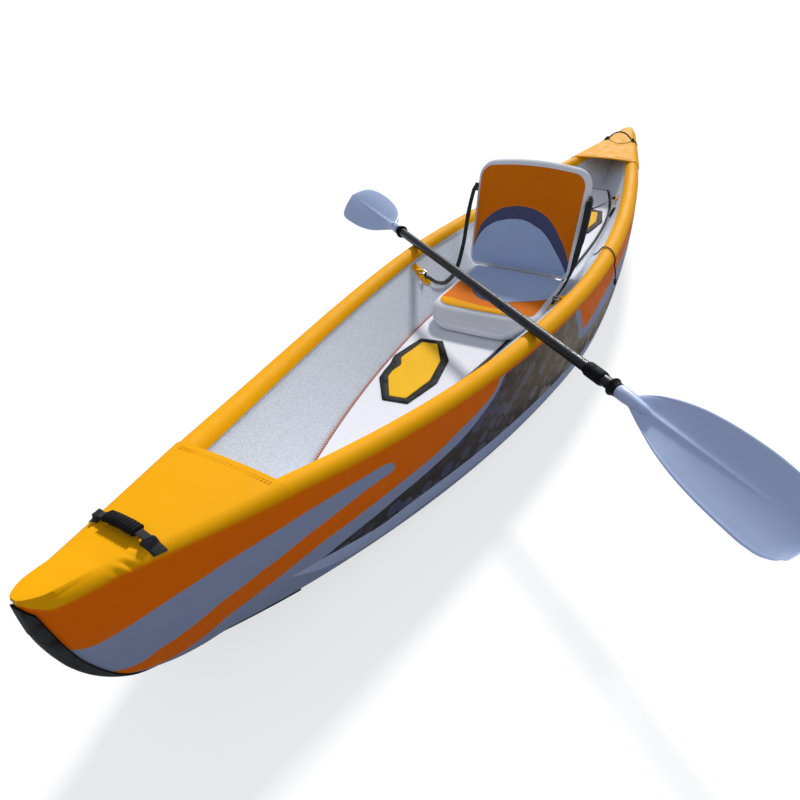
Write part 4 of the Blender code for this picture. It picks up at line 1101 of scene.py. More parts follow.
@dataclass(frozen=True)
class HullForm:
    """The curves that give the hull's shape, the same as those of the solids."""

    half: float = 1.80
    beam_half: float = 0.363
    tip_half: float = 0.022
    tip_round: float = 0.045
    gunwale: float = 0.0325
    top_mid: float = 0.312
    top_bow: float = 0.476
    top_stern: float = 0.410
    chine: float = 0.344
    chine_most: float = 0.97
    chine_round: float = 0.030
    rocker: float = 0.157
    rocker_flat: float = 0.2
    stem: float = 0.269
    bulge: float = 0.010
    floor_thick: float = 0.150
    floor: float = 0.165
    floor_bow: float = 1.153
    floor_stern: float = 1.40
    bow_drop: float = 0.030
    bow_spread: float = 0.008
    bow_lift: float = 0.016
    stern_spread: float = 0.009
    bow_from: float = 1.33

    def bow_share(self, x: float) -> float:
        """Return how far a place is into the drooping, blunt bow."""
        return max(0.0, (x - self.bow_from) / (self.half - self.bow_from)) ** 1.2

    def half_beam(self, x: float) -> float:
        """Return the outer half beam at the gunwale.

        Args:
            x: The place along the hull.

        Returns:
            The half beam.
        """
        width = self.tip_half + (self.beam_half - self.tip_half) * (1 - (abs(x) / self.half) ** 1.82)
        width += self.bow_spread * self.bow_share(x) + self.stern_spread * max(0.0, -x / self.half - 0.5) * 2
        past = (abs(x) - (self.half - self.tip_round)) / self.tip_round
        return width * math.sqrt(max(0.0, 1 - past * past)) if past > 0 else width

    def crest(self, x: float) -> float:
        """Return the height of the gunwale's top.

        Args:
            x: The place along the hull.

        Returns:
            The height.
        """
        end = self.top_bow if x > 0 else self.top_stern
        rise = (end - self.top_mid) * (abs(x) / self.half) ** 2.9
        return self.top_mid + rise - self.bow_drop * self.bow_share(x)

    def radius(self, x: float) -> float:
        """Return the radius of the gunwale's round."""
        return min(self.gunwale, 0.9 * self.half_beam(x))

    def rise(self, x: float) -> float:
        """Return how far the bottom has risen."""
        past = max(0.0, abs(x) / self.half - self.rocker_flat) / (1 - self.rocker_flat)
        return self.rocker * past ** 2.4 + self.bow_lift * self.bow_share(x)

    def bottom(self, x: float) -> float:
        """Return the lowest height of the hull.

        Args:
            x: The place along the hull.

        Returns:
            The height, which climbs to the gunwale at the stems.
        """
        past = (abs(x) - (self.half - self.stem)) / self.stem
        if past <= 0:
            return self.rise(x)
        base = self.rise(self.half - self.stem)
        end = self.crest(math.copysign(self.half, x)) - self.gunwale
        turn = math.acos(min(1.0, past) ** 1.25)
        return end - (end - base) * math.sin(turn) ** (0.96 if x > 0 else 0.9)

    def chine_half(self, x: float) -> float:
        """Return the outer half width at the bottom."""
        width = 0.004 + self.chine * (1 - (abs(x) / self.half) ** 1.69)
        return min(width, self.chine_most * self.half_beam(x))

    def floor_half(self, x: float) -> float:
        """Return the half width of the floor's flat top.

        Args:
            x: The place along the hull.

        Returns:
            The half width.
        """
        if x > 0:
            return self.floor * (1 - (x / self.floor_bow) ** 2.36)
        return self.floor * (1 - (-x / self.floor_stern) ** 5.0)

    def floor_top(self, x: float) -> float:
        """Return the height of the floor's top."""
        return self.rise(x) + self.floor_thick

    def section(self, x: float) -> np.ndarray:
        """Return one side's closed section from its inner bottom edge outward.

        Args:
            x: The place along the hull.

        Returns:
            Rows of y, z, girth and distance round the section.
        """
        gap = GAP / 2
        beam, radius, crest = self.half_beam(x), self.radius(x), self.crest(x)
        bottom, chine, half = self.bottom(x), self.chine_half(x), self.floor_half(x)
        turn = min(self.chine_round, 0.6 * chine, 0.4 * (crest - radius - bottom) + 0.002)
        depth = self.floor_thick / 2
        centre, arc = self.rise(x) + depth, depth + GAP
        shut = half <= -depth
        start = gap if shut else max(gap, half + arc * math.cos(math.radians(50)) + 0.004)
        start = min(start, chine - turn - 1e-4)
        parts = [[(start + (chine - turn - start) * t, bottom) for t in np.linspace(0, 1, 6)]]
        face = []
        for a in np.radians(np.linspace(-90, -15, 10)[1:]):
            face.append((chine - turn + turn * math.cos(a), bottom + turn + turn * math.sin(a)))
        low, high = Vector(face[-1]), Vector((beam, crest - radius))
        run = high - low
        out = Vector((run.y, -run.x)).normalized()
        swell = min(self.bulge, 0.04 * run.length)
        for t in np.linspace(0, 1, 25)[1:]:
            face.append(tuple(low + run * t + out * (swell * 4 * t * (1 - t))))
        parts.append(face)
        inner = beam - radius
        end = 180.0 if inner - radius >= gap else math.degrees(math.acos((gap - inner) / radius))
        tube_points = []
        for a in np.radians(np.linspace(0, end, 29)[1:]):
            height = crest - radius + radius * math.sin(a)
            tube_points.append((max(gap, inner + radius * math.cos(a)), height))
        parts.append(tube_points)
        last = Vector(tube_points[-1])
        foot = Vector((half, self.floor_top(x) + GAP))
        if half < gap:
            if last.x > gap + 1e-6:
                foot = last + (foot - last) * ((last.x - gap) / (last.x - half))
            else:
                foot = Vector((gap, last.y - (last.y - bottom) * 0.25))
        parts.append([tuple(last + (foot - last) * t) for t in np.linspace(0, 1, 12)[1:]])
        hidden = []
        for k, angle in enumerate((67.5, 45, 22.5, 0, -22.5, -50), start=1):
            a = math.radians(angle)
            if shut:
                hidden.append((gap, foot.y + (bottom - foot.y) * k / 7))
            else:
                hidden.append((max(gap, half + arc * math.cos(a)), centre + arc * math.sin(a)))
        parts.append(hidden)
        rows = []
        done = 0.0
        before = parts[0][0]
        for zone, part in enumerate(parts):
            steps = [math.dist(a, b) for a, b in zip([before] + part, part)]
            whole = max(1e-9, sum(steps))
            here = 0.0
            for (y, z), step in zip(part, steps):
                here += step
                rows.append((y, z, zone - 1 + here / whole, done + here))
            done += whole
            before = part[-1]
        return np.array(rows)

    def at(self, x: float, girth: float, side: Side, lift: float = 0.0) -> Vector:
        """Return a point on or over the hull's fabric.

        Args:
            x: The place along the hull.
            girth: The place round it.
            side: The side of the hull.
            lift: How far the point stands off.

        Returns:
            The point.
        """
        rows = self.section(x)
        y = float(np.interp(girth, rows[:, 2], rows[:, 0]))
        z = float(np.interp(girth, rows[:, 2], rows[:, 1]))
        if lift:
            step = 0.02
            run = [np.interp((girth - step, girth + step), rows[:, 2], rows[:, k]) for k in (0, 1)]
            way = Vector((run[1][1] - run[1][0], -(run[0][1] - run[0][0]))).normalized()
            y += way.x * lift
            z += way.y * lift
        return Vector((x, side.value * y, z))

    def wall(self, x: float, share_up: float, side: Side) -> Matrix:
        """Return a matrix on the inner wall, with its Z into the cockpit.

        Args:
            x: The place along the hull.
            share_up: How far up the wall.
            side: The side of the hull.

        Returns:
            The matrix.
        """
        girth = 3.0 - share_up
        here = self.at(x, girth, side)
        forward = self.at(x + 0.02, girth, side) - here
        up = (self.at(x, 2.0, side) - self.at(x, 3.0, side)).normalized()
        normal = forward.cross(up) * (-side.value)
        if normal.y * side.value > 0:
            normal = -normal
        return basis(here, forward, normal)


FORM = HullForm()


def stations(low: float, high: float, count: int, power: float) -> np.ndarray:
    """Return places from low to high that come closer together, by a power, towards both ends."""
    even = np.linspace(-1, 1, count)
    return low + (high - low) * (np.sign(even) * (1 - (1 - np.abs(even)) ** power) + 1) / 2


def mirrored(points: Sequence[Vector]) -> list[Vector]:
    """Return points on the other side of the hull, in reverse order."""
    return [Vector((p.x, -p.y, p.z)) for p in reversed(points)]


@dataclass
class Hull:
    """The air chambers, the decks, the guards and the seam tapes."""

    tip: float = 1.7985
    foredeck_edge: float = 1.362
    afterdeck_edge: float = -1.325
    guard_bow: float = 1.3585
    guard_stern: float = -1.442
    deck_thick: float = 0.003
    guard_thick: float = 0.0030
    valve_x: float = -0.9175
    valve_hole: float = 0.0203

    def build(self) -> None:
        """Make and dress every piece."""
        for side in Side:
            self.side_skin(side)
        self.floor_skin()
        self.deck("foredeck", self.foredeck_edge, self.tip)
        self.deck("afterdeck", self.afterdeck_edge, -self.tip)
        self.guard("bow_guard", self.guard_bow, self.tip)
        self.guard("stern_guard", self.guard_stern, -self.tip)
        self.tapes()

    def side_skin(self, side: Side) -> None:
        """Make one side chamber with its print and the hole for its valve.

        Args:
            side: The side of the hull.
        """
        places = stations(-self.tip, self.tip, 231, 1.55)
        rows = [FORM.section(x) for x in places]
        rings = np.array([[(x, side.value * y, z) for y, z, _, _ in row] for x, row in zip(places, rows)])
        cloth = np.array([[(x, s, g) for _, _, g, s in row] for x, row in zip(places, rows)])
        piece = loft(f"hull_chamber_{side.word}", rings, cloth=cloth, sharp=75.0)
        spot = FORM.wall(self.valve_x, 0.5, side)
        bore(piece, spot, self.valve_hole, 0.03)
        values, points = stored(piece), points_of(piece)
        near = np.linalg.norm(points - np.array(spot.translation), axis=1) < 0.075
        near &= (values[:, 2] > 1.95) | (np.abs(values).sum(axis=1) < 1e-6)
        values[near, :2] = points[near][:, (0, 2)]
        values[near, 2] = 2.5
        store(piece, values)
        shade(piece, 60)
        dress(piece, PRINTED_HULL, stands_for=[f"side_chamber_{side.word}"])

    def floor_skin(self) -> None:
        """Make the floor chamber with the hole for its valve."""
        depth = FORM.floor_thick / 2
        rings = []
        for x in stations(-1.52, 1.34, 121, 1.2):
            half = FORM.floor_half(x)
            if half < -depth + 0.004:
                continue
            limit = 90.0 if half >= 0 else math.degrees(math.acos(-half / depth))
            centre = FORM.rise(x) + depth
            port = [Vector((x, max(0.0, half + depth * math.cos(a)), centre + depth * math.sin(a)))
                    for a in np.radians(np.linspace(limit, -limit, 25))]
            rings.append(port + mirrored(port))
        piece = loft("floor_air_chamber", np.array(rings), sharp=75.0)
        bore(piece, FloorGear().valve_frame(0.0), self.valve_hole, 0.03)
        store(piece, points_of(piece))
        dress(piece, PALE_VINYL, stands_for=["floor_chamber"])

    def deck(self, name: str, edge: float, tip: float) -> None:
        """Make one drawn-tight deck.

        Args:
            name: The node that it stands for.
            edge: Where it opens to the cockpit.
            tip: Where it ends.
        """
        shares = np.concatenate([np.linspace(0, 0.02, 4)[:-1], np.linspace(0.02, 1, 90) ** 0.85])
        girths = np.linspace(1.0, 1.5, 13)
        layers = []
        for lift in (GAP + self.deck_thick, GAP):
            rows = []
            for share in np.unique(shares):
                x = edge + (tip - edge) * share
                half = [FORM.at(x, g, Side.PORT, lift) for g in girths]
                half[-1].z = FORM.crest(x) + lift
                top = half[-1]
                crown = min(0.006, 0.06 * top.y) * (1.0 if lift > 0.001 else 0.9)
                flat = []
                for c in np.linspace(1, 0, 15)[1:]:
                    rise = crown * (1 - c ** 2)
                    fold = 0.0008 * noise.noise(Vector((x * 9, c * 2, 1.0))) * (1 - c ** 2)
                    flat.append(Vector((x, top.y * c, top.z + rise + fold)))
                half += flat
                other = mirrored(half[:-1])
                for point in half if tip > edge else ():
                    self.pucker(point)
                rows.append(half + other)
            layers.append(np.array(rows))
        rings = np.concatenate([layers[0], layers[1][:, ::-1]], axis=1)
        port = list(girths) + [1.5] * 14
        row = port + port[:-1][::-1]
        cloth = np.zeros_like(rings)
        cloth[..., 0] = rings[..., 0]
        cloth[..., 1] = np.abs(rings[..., 1]) + 0.5 - rings[..., 2]
        cloth[..., 2] = np.array(row + row[::-1])
        piece = loft(name + "_cloth", rings, cloth=cloth, sharp=70.0)
        dress(piece, PRINTED_HULL, stands_for=[name])
        self.deck_edge(name, edge, math.copysign(1, tip))

    def deck_edge(self, name: str, edge: float, way: float) -> None:
        """Make a deck's rolled hem and its two rows of stitches.

        Args:
            name: The node that the deck stands for.
            edge: Where it opens to the cockpit.
            way: Plus one on the foredeck, minus one on the afterdeck.
        """
        half = FORM.half_beam(edge) - FORM.radius(edge)
        height = FORM.crest(edge) - 0.0005
        line = [Vector((edge + way * 0.0035, y, height + 0.0055 * (1 - (y / half) ** 2)))
                for y in np.linspace(-half * 0.97, half * 0.97, 40)]
        dress(tube(name + "_hem", line, 0.0034, 10), ORANGE_CLOTH)
        for at, label in ((0.014, "first"), (0.020, "second")):
            stitches = self.stitch_line(f"{name}_stitches_{label}", edge + way * at, half)
            dress(stitches, SEAM_THREAD)

    def pucker(self, point: Vector) -> None:
        """Fold the foredeck's fabric a little beside the bow handle.

        Args:
            point: The point that is moved.
        """
        near = math.exp(-((point.x - 1.662) / 0.020) ** 2 - ((point.y - 0.066) / 0.014) ** 2)
        fold = near * math.sin(point.x * 330 + point.y * 160)
        point.z += 0.0011 * fold
        point.y += 0.0016 * fold

    def stitch_line(self, name: str, x: float, half: float) -> Object:
        """Return a row of stitches across a deck's edge.

        Args:
            name: The piece's name.
            x: Where it runs.
            half: Half its length.

        Returns:
            The piece.
        """
        parts = []
        height = FORM.crest(x) + GAP + self.deck_thick
        for y in np.arange(-half + 0.006, half - 0.004, 0.009):
            crowns = [(at, min(0.006, 0.06 * half) * (1 - (at / half) ** 2))
                      for at in (y, y + 0.003, y + 0.006)]
            ends = [Vector((x, at, height + crown - 0.0001)) for at, crown in crowns]
            parts.append(tube("stitch", ends, 0.0005, 6))
        return join(name, parts)

    def guard(self, name: str, start: float, tip: float) -> None:
        """Make one rubber guard round a stem.

        Args:
            name: The node that it stands for.
            start: Where it starts under the hull.
            tip: Where it ends.
        """
        layers = []
        for lift in (GAP + self.guard_thick, GAP):
            rows = []
            for share in 1 - (1 - np.linspace(0, 1, 120)) ** 1.7:
                x = start + (tip - start) * share
                reach = 0.004 + 0.020 * (max(0.0, abs(x) - 1.62) / 0.11) ** 3
                reach += 0.060 * (max(0.0, abs(x) - 1.76) / 0.04) ** 2
                whole = FORM.section(x)
                face = whole[(whole[:, 2] > -1) & (whole[:, 2] <= 1)]
                length = face[-1, 3] - face[0, 3]
                flat = np.interp(0.0, whole[:, 2], whole[:, 3]) - whole[0, 3]
                top = min(0.93, (flat + reach) / max(1e-6, length))
                distances = np.linspace(0.0, top, 16) * length + face[0, 3]
                port = [FORM.at(x, float(g), Side.PORT, lift)
                        for g in np.interp(distances, whole[:, 3], whole[:, 2])]
                port[0].y = 0.0
                port[0].z = port[1].z
                slope = (FORM.bottom(x) - FORM.bottom(x - 0.004)) / 0.004
                for point in port:
                    point.x += lift * slope / math.sqrt(1 + slope * slope)
                rows.append(mirrored(port[1:]) + port)
            ahead = math.copysign(0.0018 if lift > 0.001 else 0.0004, tip)
            last = rows[-1]
            for out, narrow in ((0.4, 0.9), (0.8, 0.55), (1.0, 0.02)):
                rows.append([Vector((p.x + ahead * out, p.y * narrow, p.z)) for p in last])
            layers.append(np.array(rows))
        rings = np.concatenate([layers[0], layers[1][:, ::-1]], axis=1)
        dress(loft(name + "_rubber", rings, sharp=60.0), BLACK_RUBBER, stands_for=[name])

    def tapes(self) -> None:
        """Make the seam tapes along the chines and under the gunwales' inner sides."""
        self.tape("chine", (-0.02, 0.055), (self.guard_stern + 0.02, self.guard_bow - 0.02), BLACK_RUBBER)
        reach = (self.afterdeck_edge + 0.004, self.foredeck_edge - 0.004)
        self.tape("gunwale", (1.86, 1.94), reach, ORANGE_CLOTH)

    def tape(self, label: str, zone: tuple[float, float], ends: tuple[float, float], finish: Finish) -> None:
        """Make one seam tape on both sides of the hull.

        Args:
            label: Which seam.
            zone: The girths between which it lies.
            ends: Where it starts and ends.
            finish: What it is made of.
        """
        for side in Side:
            rings = []
            for x in stations(*ends, 121, 1.1):
                outer = [FORM.at(x, g, side, 0.0009) for g in np.linspace(*zone, 7)]
                inner = [FORM.at(x, g, side, -0.0006) for g in np.linspace(*zone[::-1], 7)]
                rings.append(outer + inner)
            piece = loft(f"{label}_tape_{side.word}", np.array(rings), sharp=60.0)
            dress(piece, finish)


@dataclass
class FloorGear:
    """The white mat, its piping, the heel pads and the floor stitches."""

    mat_thick: float = 0.0075
    mat_bow: float = 1.10
    mat_stern: float = -1.30
    pipe: float = 0.004
    pad_length: float = 0.385
    pad_width: float = 0.175
    pad_end: float = 0.075
    pad_border: float = 0.024
    valve_x: float = -0.52

    def valve_frame(self, lift: float) -> Matrix:
        """Return a matrix at the floor valve, a lift over the floor chamber."""
        slope = (FORM.floor_top(self.valve_x + 0.01) - FORM.floor_top(self.valve_x - 0.01)) / 0.02
        return basis((self.valve_x, 0.0, FORM.floor_top(self.valve_x) + lift), (1, 0, slope), (-slope, 0, 1))

    def build(self) -> None:
        """Make and dress every piece."""
        self.mat()
        self.piping()
        for name, centre, turn in (("front", (0.572, -0.026), 12.0), ("rear", (-0.86, 0.030), -8.0)):
            self.pad(name, centre, math.radians(turn))

    def half_width(self, x: float, inset: float) -> float:
        """Return the mat's half width.

        Args:
            x: The place along the hull.
            inset: How far inside the floor's edge.

        Returns:
            The half width.
        """
        at = min(x, self.mat_bow)
        slope = (FORM.floor_half(at + 0.01) - FORM.floor_half(at - 0.01)) / 0.02
        width = FORM.floor_half(at) - inset * math.sqrt(1 + slope * slope)
        if x > self.mat_bow:
            width = math.sqrt(max(0.0, width * width - (x - self.mat_bow) ** 2))
        return width

    def mat(self) -> None:
        """Make the foam mat."""
        inset = 2 * self.pipe + 5 * GAP
        nose = self.half_width(self.mat_bow, inset)
        places = np.concatenate([np.linspace(self.mat_stern + inset, self.mat_bow, 100),
                                 self.mat_bow + nose * np.sin(np.linspace(0, math.pi / 2, 10))[1:]])
        across = np.concatenate([[-1, -0.985], np.linspace(-0.96, 0.96, 25), [0.985, 1]])
        soft = 0.0018 * np.maximum(0.0, (np.abs(across) - 0.96) / 0.04) ** 2
        rings = []
        for x in places:
            width = max(0.0005, self.half_width(x, inset))
            base = FORM.floor_top(x) + GAP
            rings.append([(x, c * width, base + self.mat_thick - s) for c, s in zip(across, soft)]
                         + [(x, c * width, base) for c in across[::-1]])
        piece = loft("floor_foam_mat", np.array(rings), cloth=np.array(rings), sharp=60.0)
        bore(piece, self.valve_frame(GAP), 0.0293, 0.02)
        store(piece, points_of(piece))
        piece.data.set_sharp_from_angle(angle=math.radians(50))
        dress(piece, MAT_FOAM, stands_for=["floor_mat"])

    def piping(self) -> None:
        """Make the piping round the mat."""
        inset = self.pipe + 2 * GAP
        nose = self.half_width(self.mat_bow, inset)
        places = list(np.linspace(self.mat_stern + inset, self.mat_bow, 110))
        places += list(self.mat_bow + nose * np.sin(np.linspace(0, math.pi / 2, 9))[1:])
        line = [Vector((x, -self.half_width(x, inset), FORM.floor_top(x) + GAP + self.pipe)) for x in places]
        piece = tube("mat_edge_piping", line + mirrored(line[:-1]), self.pipe, 12, cyclic=True)
        store(piece, points_of(piece)[:, (0, 2, 1)])
        dress(piece, PIPING, stands_for=["mat_piping"])

    def pad_edges(self, u: float, length: float, width: float, end: float) -> tuple[float, float]:
        """Return the two edges of a blunt stretched hexagon at a place along it.

        Args:
            u: The place.
            length: The hexagon's length.
            width: Its width.
            end: The width of its ends.

        Returns:
            The starboard and the port edge.
        """
        low = np.interp(u / length, (-0.5, -0.16, 0.2, 0.5), (end / 2, width / 2, width / 2, end / 2))
        high = np.interp(u / length, (-0.5, -0.2, 0.16, 0.5), (end / 2, width / 2, width / 2, end / 2))
        return self.dip(u, 0.014) - float(low), float(high)

    def dip(self, u: float, depth: float) -> float:
        """Return how far a pad's starboard edge is drawn in at a place along it."""
        return depth * math.exp(-((u + 0.012) / 0.030) ** 2)

    def pad(self, name: str, centre: tuple[float, float], turn: float) -> None:
        """Make one grooved heel pad with its border.

        Args:
            name: Which pad.
            centre: Its middle.
            turn: Its angle to the keel.
        """
        base = 2 * GAP + self.mat_thick
        cos, sin = math.cos(turn), math.sin(turn)

        def lay(u: float, v: float, height: float) -> tuple[float, float, float]:
            """Return a pad point over the floor."""
            x = centre[0] + u * cos - v * sin
            return x, centre[1] + u * sin + v * cos, FORM.floor_top(x) + base + height

        self.pad_foam(name, lay)
        self.pad_frame(name, lay)

    def pad_foam(self, name: str, lay: Callable[[float, float, float], tuple]) -> None:
        """Make a heel pad's grooved foam.

        Args:
            name: Which pad.
            lay: The rule that lays a pad point on the floor.
        """
        length = self.pad_length - 2 * self.pad_border - 0.001
        width = self.pad_width - 2 * self.pad_border - 0.001
        end = self.pad_end - self.pad_border - 0.001
        drop = (0.0012, 0.0004, 0, 0, 0, 0, 0, 0.0004, 0.0012)
        rings = []
        cloth = []
        for share in np.arange(161) / 160:
            u = length * (share - 0.5)
            low, high = self.pad_edges(u, length, width, end)
            groove = 0.0009 * (0.5 + 0.5 * math.cos(math.tau * u / 0.0085)) ** 4
            edge = 0.0012 * max(0.0, abs(share - 0.5) * 2 - 0.985) / 0.015
            spread = [low + (high - low) * t for t in (0, 0.01, 0.03, 0.25, 0.5, 0.75, 0.97, 0.99, 1)]
            rings.append([lay(u, v, 0.004 - groove - d - edge) for v, d in zip(spread, drop)]
                         + [lay(u, v, 0.0) for v in reversed(spread)])
            cloth.append([(u, v, 0.0) for v in spread + spread[::-1]])
        pad = loft(f"{name}_heel_pad", np.array(rings), cloth=np.array(cloth), sharp=60.0)
        dress(pad, PAD_FOAM, stands_for=[f"{name}_pad"])

    def pad_frame(self, name: str, lay: Callable[[float, float, float], tuple]) -> None:
        """Make a heel pad's black border.

        Args:
            name: Which pad.
            lay: The rule that lays a pad point on the floor.
        """
        outlines = []
        for shrink in (0.0, 0.0012, self.pad_border - 0.0012, self.pad_border):
            length = self.pad_length - 2 * shrink
            side, end = self.pad_width / 2 - shrink, (self.pad_end - shrink) / 2
            corners = [(-0.5, -end), (-0.16, -side), (0.2, -side), (0.5, -end),
                       (0.5, end), (0.16, side), (-0.2, side), (-0.5, end)]
            outline = []
            for (u0, v0), (u1, v1) in zip(corners, corners[1:] + corners[:1]):
                for t in np.linspace(0, 1, 13)[:-1]:
                    u, v = (u0 + (u1 - u0) * t) * length, v0 + (v1 - v0) * t
                    dip = self.dip(u, 0.014 if shrink > 0.01 else 0.004) if v < 0 else 0.0
                    outline.append((u, v + dip))
            outlines.append(outline)
        rows = ((0, 0.0), (0, 0.0022), (1, 0.003), (2, 0.003), (3, 0.0022), (3, 0.0))
        rings = [[lay(*spots[n], height) for n, height in rows] for spots in zip(*outlines)]
        border = loft(f"{name}_heel_pad_border", np.array(rings), cyclic=True, sharp=60.0)
        dress(border, BLACK_RUBBER, stands_for=[f"{name}_pad_border"])


@dataclass
class Valves:
    """The three inflation valves."""

    rim: float = 0.029
    pocket: float = 0.024

    def build(self) -> None:
        """Make and dress the three valves."""
        for side in Side:
            self.valve(side.word, FORM.wall(Hull.valve_x, 0.5, side))
        lift = FloorGear.mat_thick + GAP
        self.valve("floor", FloorGear().valve_frame(lift) @ Matrix.Translation((0, 0, -lift)))

    def valve(self, word: str, matrix: Matrix) -> None:
        """Make one valve's body, plunger and cap.

        Args:
            word: Which valve.
            matrix: Where it stands.
        """
        rim, neck, floor = self.rim, self.rim - 0.009, GAP - self.pocket
        wall, skirt = neck - 0.0025, neck - 0.0025 - GAP
        base = [(0.0055, floor), (neck, floor), (neck, -0.0027), (rim, -0.0027), (rim, 0.0008),
                (rim - 0.0008, 0.002), (rim - 0.0024, 0.003), (neck - 0.0020, 0.003), (wall, 0.0025),
                (wall, floor + 0.003), (0.0055, floor + 0.003)]
        stem = [(0, floor + 0.0005), (0.005, floor + 0.0005), (0.005, -0.008), (0.0085, -0.0077),
                (0.009, -0.0072), (0.009, -0.0038), (0.0085, -0.0034), (0.0, -0.003)]
        lid = [(0, 0.0033), (0, 0.0092), (0.0085, 0.0092), (0.0095, 0.0105), (neck, 0.0105),
               (rim - 0.0055, 0.0096), (rim - 0.0045, 0.0082), (rim - 0.004, 0.0040), (rim - 0.0046, 0.0033),
               (skirt, 0.0033), (skirt, -0.002), (skirt - 0.0025, -0.002), (skirt - 0.0025, 0.0033)]
        for label, profile, node, body, shape in (
                ("base", base, "body", "hull", {}),
                ("stem", stem, "plunger", f"valve_{word}_stem", {"steps": 40}),
                ("lid", lid, "cap", f"valve_{word}_lid", {"steps": 96, "lobes": 24, "depth": 0.0012})):
            piece = turned(f"valve_{word}_{label}", profile, matrix, **shape)
            dress(piece, BLACK_PLASTIC, body, [f"valve_{word}_{node}"])


@dataclass
class Handles:
    """The ribbed bow handle and the cord loop at the stern."""

    at: float = 1.61
    half: float = 0.058
    rise: float = 0.008
    lift: float = 0.0095
    cord_lift: float = 0.006
    grip_half: float = 0.039
    ribs: int = 10

    def base(self, x: float) -> Matrix:
        """Return a matrix on the deck, with X along its slope."""
        slope = (FORM.crest(x + 0.01) - FORM.crest(x - 0.01)) / 0.02
        return basis((x, 0, FORM.crest(x) + GAP + Hull.deck_thick), (1, 0, slope), (-slope, 0, 1))

    def arch(self, half: float, rise: float, count: int, power: float) -> list[tuple[float, float]]:
        """Return the points of an arch from port to starboard.

        Args:
            half: Half its span.
            rise: Its height.
            count: How many steps it has.
            power: How blunt it is.

        Returns:
            Its (y, height) points.
        """
        points = []
        for k in range(count + 1):
            y = half * math.sin((-1 + 2 * k / count) * math.pi / 2)
            points.append((-y, rise * (1 - abs(y / half) ** power)))
        return points

    def build(self) -> None:
        """Make and dress every piece."""
        self.bow()
        self.stern()
        self.patches("bow_handle", self.at, self.lift, 0.28)
        self.patches("stern_handle", -self.at, self.cord_lift, 0.36)

    def bow(self) -> None:
        """Make the bow handle's webbing and its ribbed grip."""
        lift = self.base(self.at) @ Matrix.Translation((0, 0, self.lift))
        ends = self.half + 0.011
        line = [(ends, 0.0)] + self.arch(self.half, self.rise, 24, 2.6) + [(-ends, 0.0)]
        path = [lift @ Vector((0, y, z)) for y, z in line]
        strap = webbing("bow_handle_webbing", path, [lift.col[0].xyz] * len(path), 0.016, 0.0026, 60)
        dress(strap, BLACK_WEB, "bow_handle", ["bow_handle_strap"])
        curve = self.arch(self.half, self.rise, 400, 2.6)
        spots = [spot for spot in curve if abs(spot[0]) < self.grip_half]
        distances = np.cumsum([0.0] + [math.dist(a, b) for a, b in zip(spots, spots[1:])])
        whole = distances[-1]
        rings = []
        for share in np.arange(151) / 150:
            y, z = (float(np.interp(whole * share, distances, [spot[k] for spot in spots])) for k in (0, 1))
            stand = 0.0026 * (0.5 - 0.5 * math.cos(math.tau * (share * self.ribs % 1.0))) ** 0.4
            close = math.sqrt(1 - max(0.0, abs(share - 0.5) * 2 - 0.93) ** 2 / 0.07 ** 2 * 0.8)
            wide, tall = (0.0112 + stand) * close, (0.0052 + stand) * close
            ring = []
            for a in np.arange(32) * math.tau / 32:
                c, d = math.cos(a), math.sin(a)
                ring.append(lift @ Vector((wide * math.copysign(abs(c) ** 0.75, c), y,
                                           z + tall * math.copysign(abs(d) ** 0.85, d))))
            rings.append(ring)
        grip = loft("bow_handle_ribbed_grip", np.array(rings), sharp=60.0)
        dress(grip, BLACK_RUBBER, "bow_handle", ["bow_handle_grip"])

    def stern(self) -> None:
        """Make the stern handle's cord loop."""
        lift = self.base(-self.at) @ Matrix.Translation((0, 0, self.cord_lift))
        ends = self.half + 0.011
        line = [(ends, 0.0)] + self.arch(self.half, 0.034, 32, 2.0) + [(-ends, 0.0)]
        path = smooth_path([lift @ Vector((0, y, z)) for y, z in line], 90)
        cord = tube("stern_handle_cord", path, 0.0033, 14)
        dress(cord, BLACK_WEB, "stern_handle", ["stern_handle_loop"])

    def patches(self, prefix: str, x: float, lift: float, reach: float) -> None:
        """Make the sewn webbing tabs that hold a handle's ends.

        Args:
            prefix: The handle's name.
            x: Where the handle is.
            lift: How high its ends lie.
            reach: How far the tabs go down the side, as a girth.
        """
        wide = 0.024
        spread = np.linspace(-1, 1, 9)
        for side in Side:
            rings = []
            cloth = []
            for t in np.linspace(0, 1, 30):
                girth = 1.50 - reach * t
                lump = (lift + 0.0045) * math.exp(-((t - 0.16) / 0.16) ** 2)
                high = 0.0022 + Hull.deck_thick + lump
                outer = [FORM.at(x + c * wide / 2, girth, side, GAP + high * (1 - 0.35 * abs(c) ** 6))
                         for c in spread]
                inner = [FORM.at(x + c * wide / 2, girth, side, 2 * GAP + Hull.deck_thick) for c in spread]
                rings.append(outer + inner[::-1])
                cloth.append([(t * 0.05, c * wide / 2, 0.0) for c in spread] * 2)
            piece = loft(f"{prefix}_tab_{side.word}", np.array(rings), cloth=np.array(cloth), sharp=55.0)
            dress(piece, BLACK_WEB, stands_for=[f"{prefix}_patch_{side.word}"])


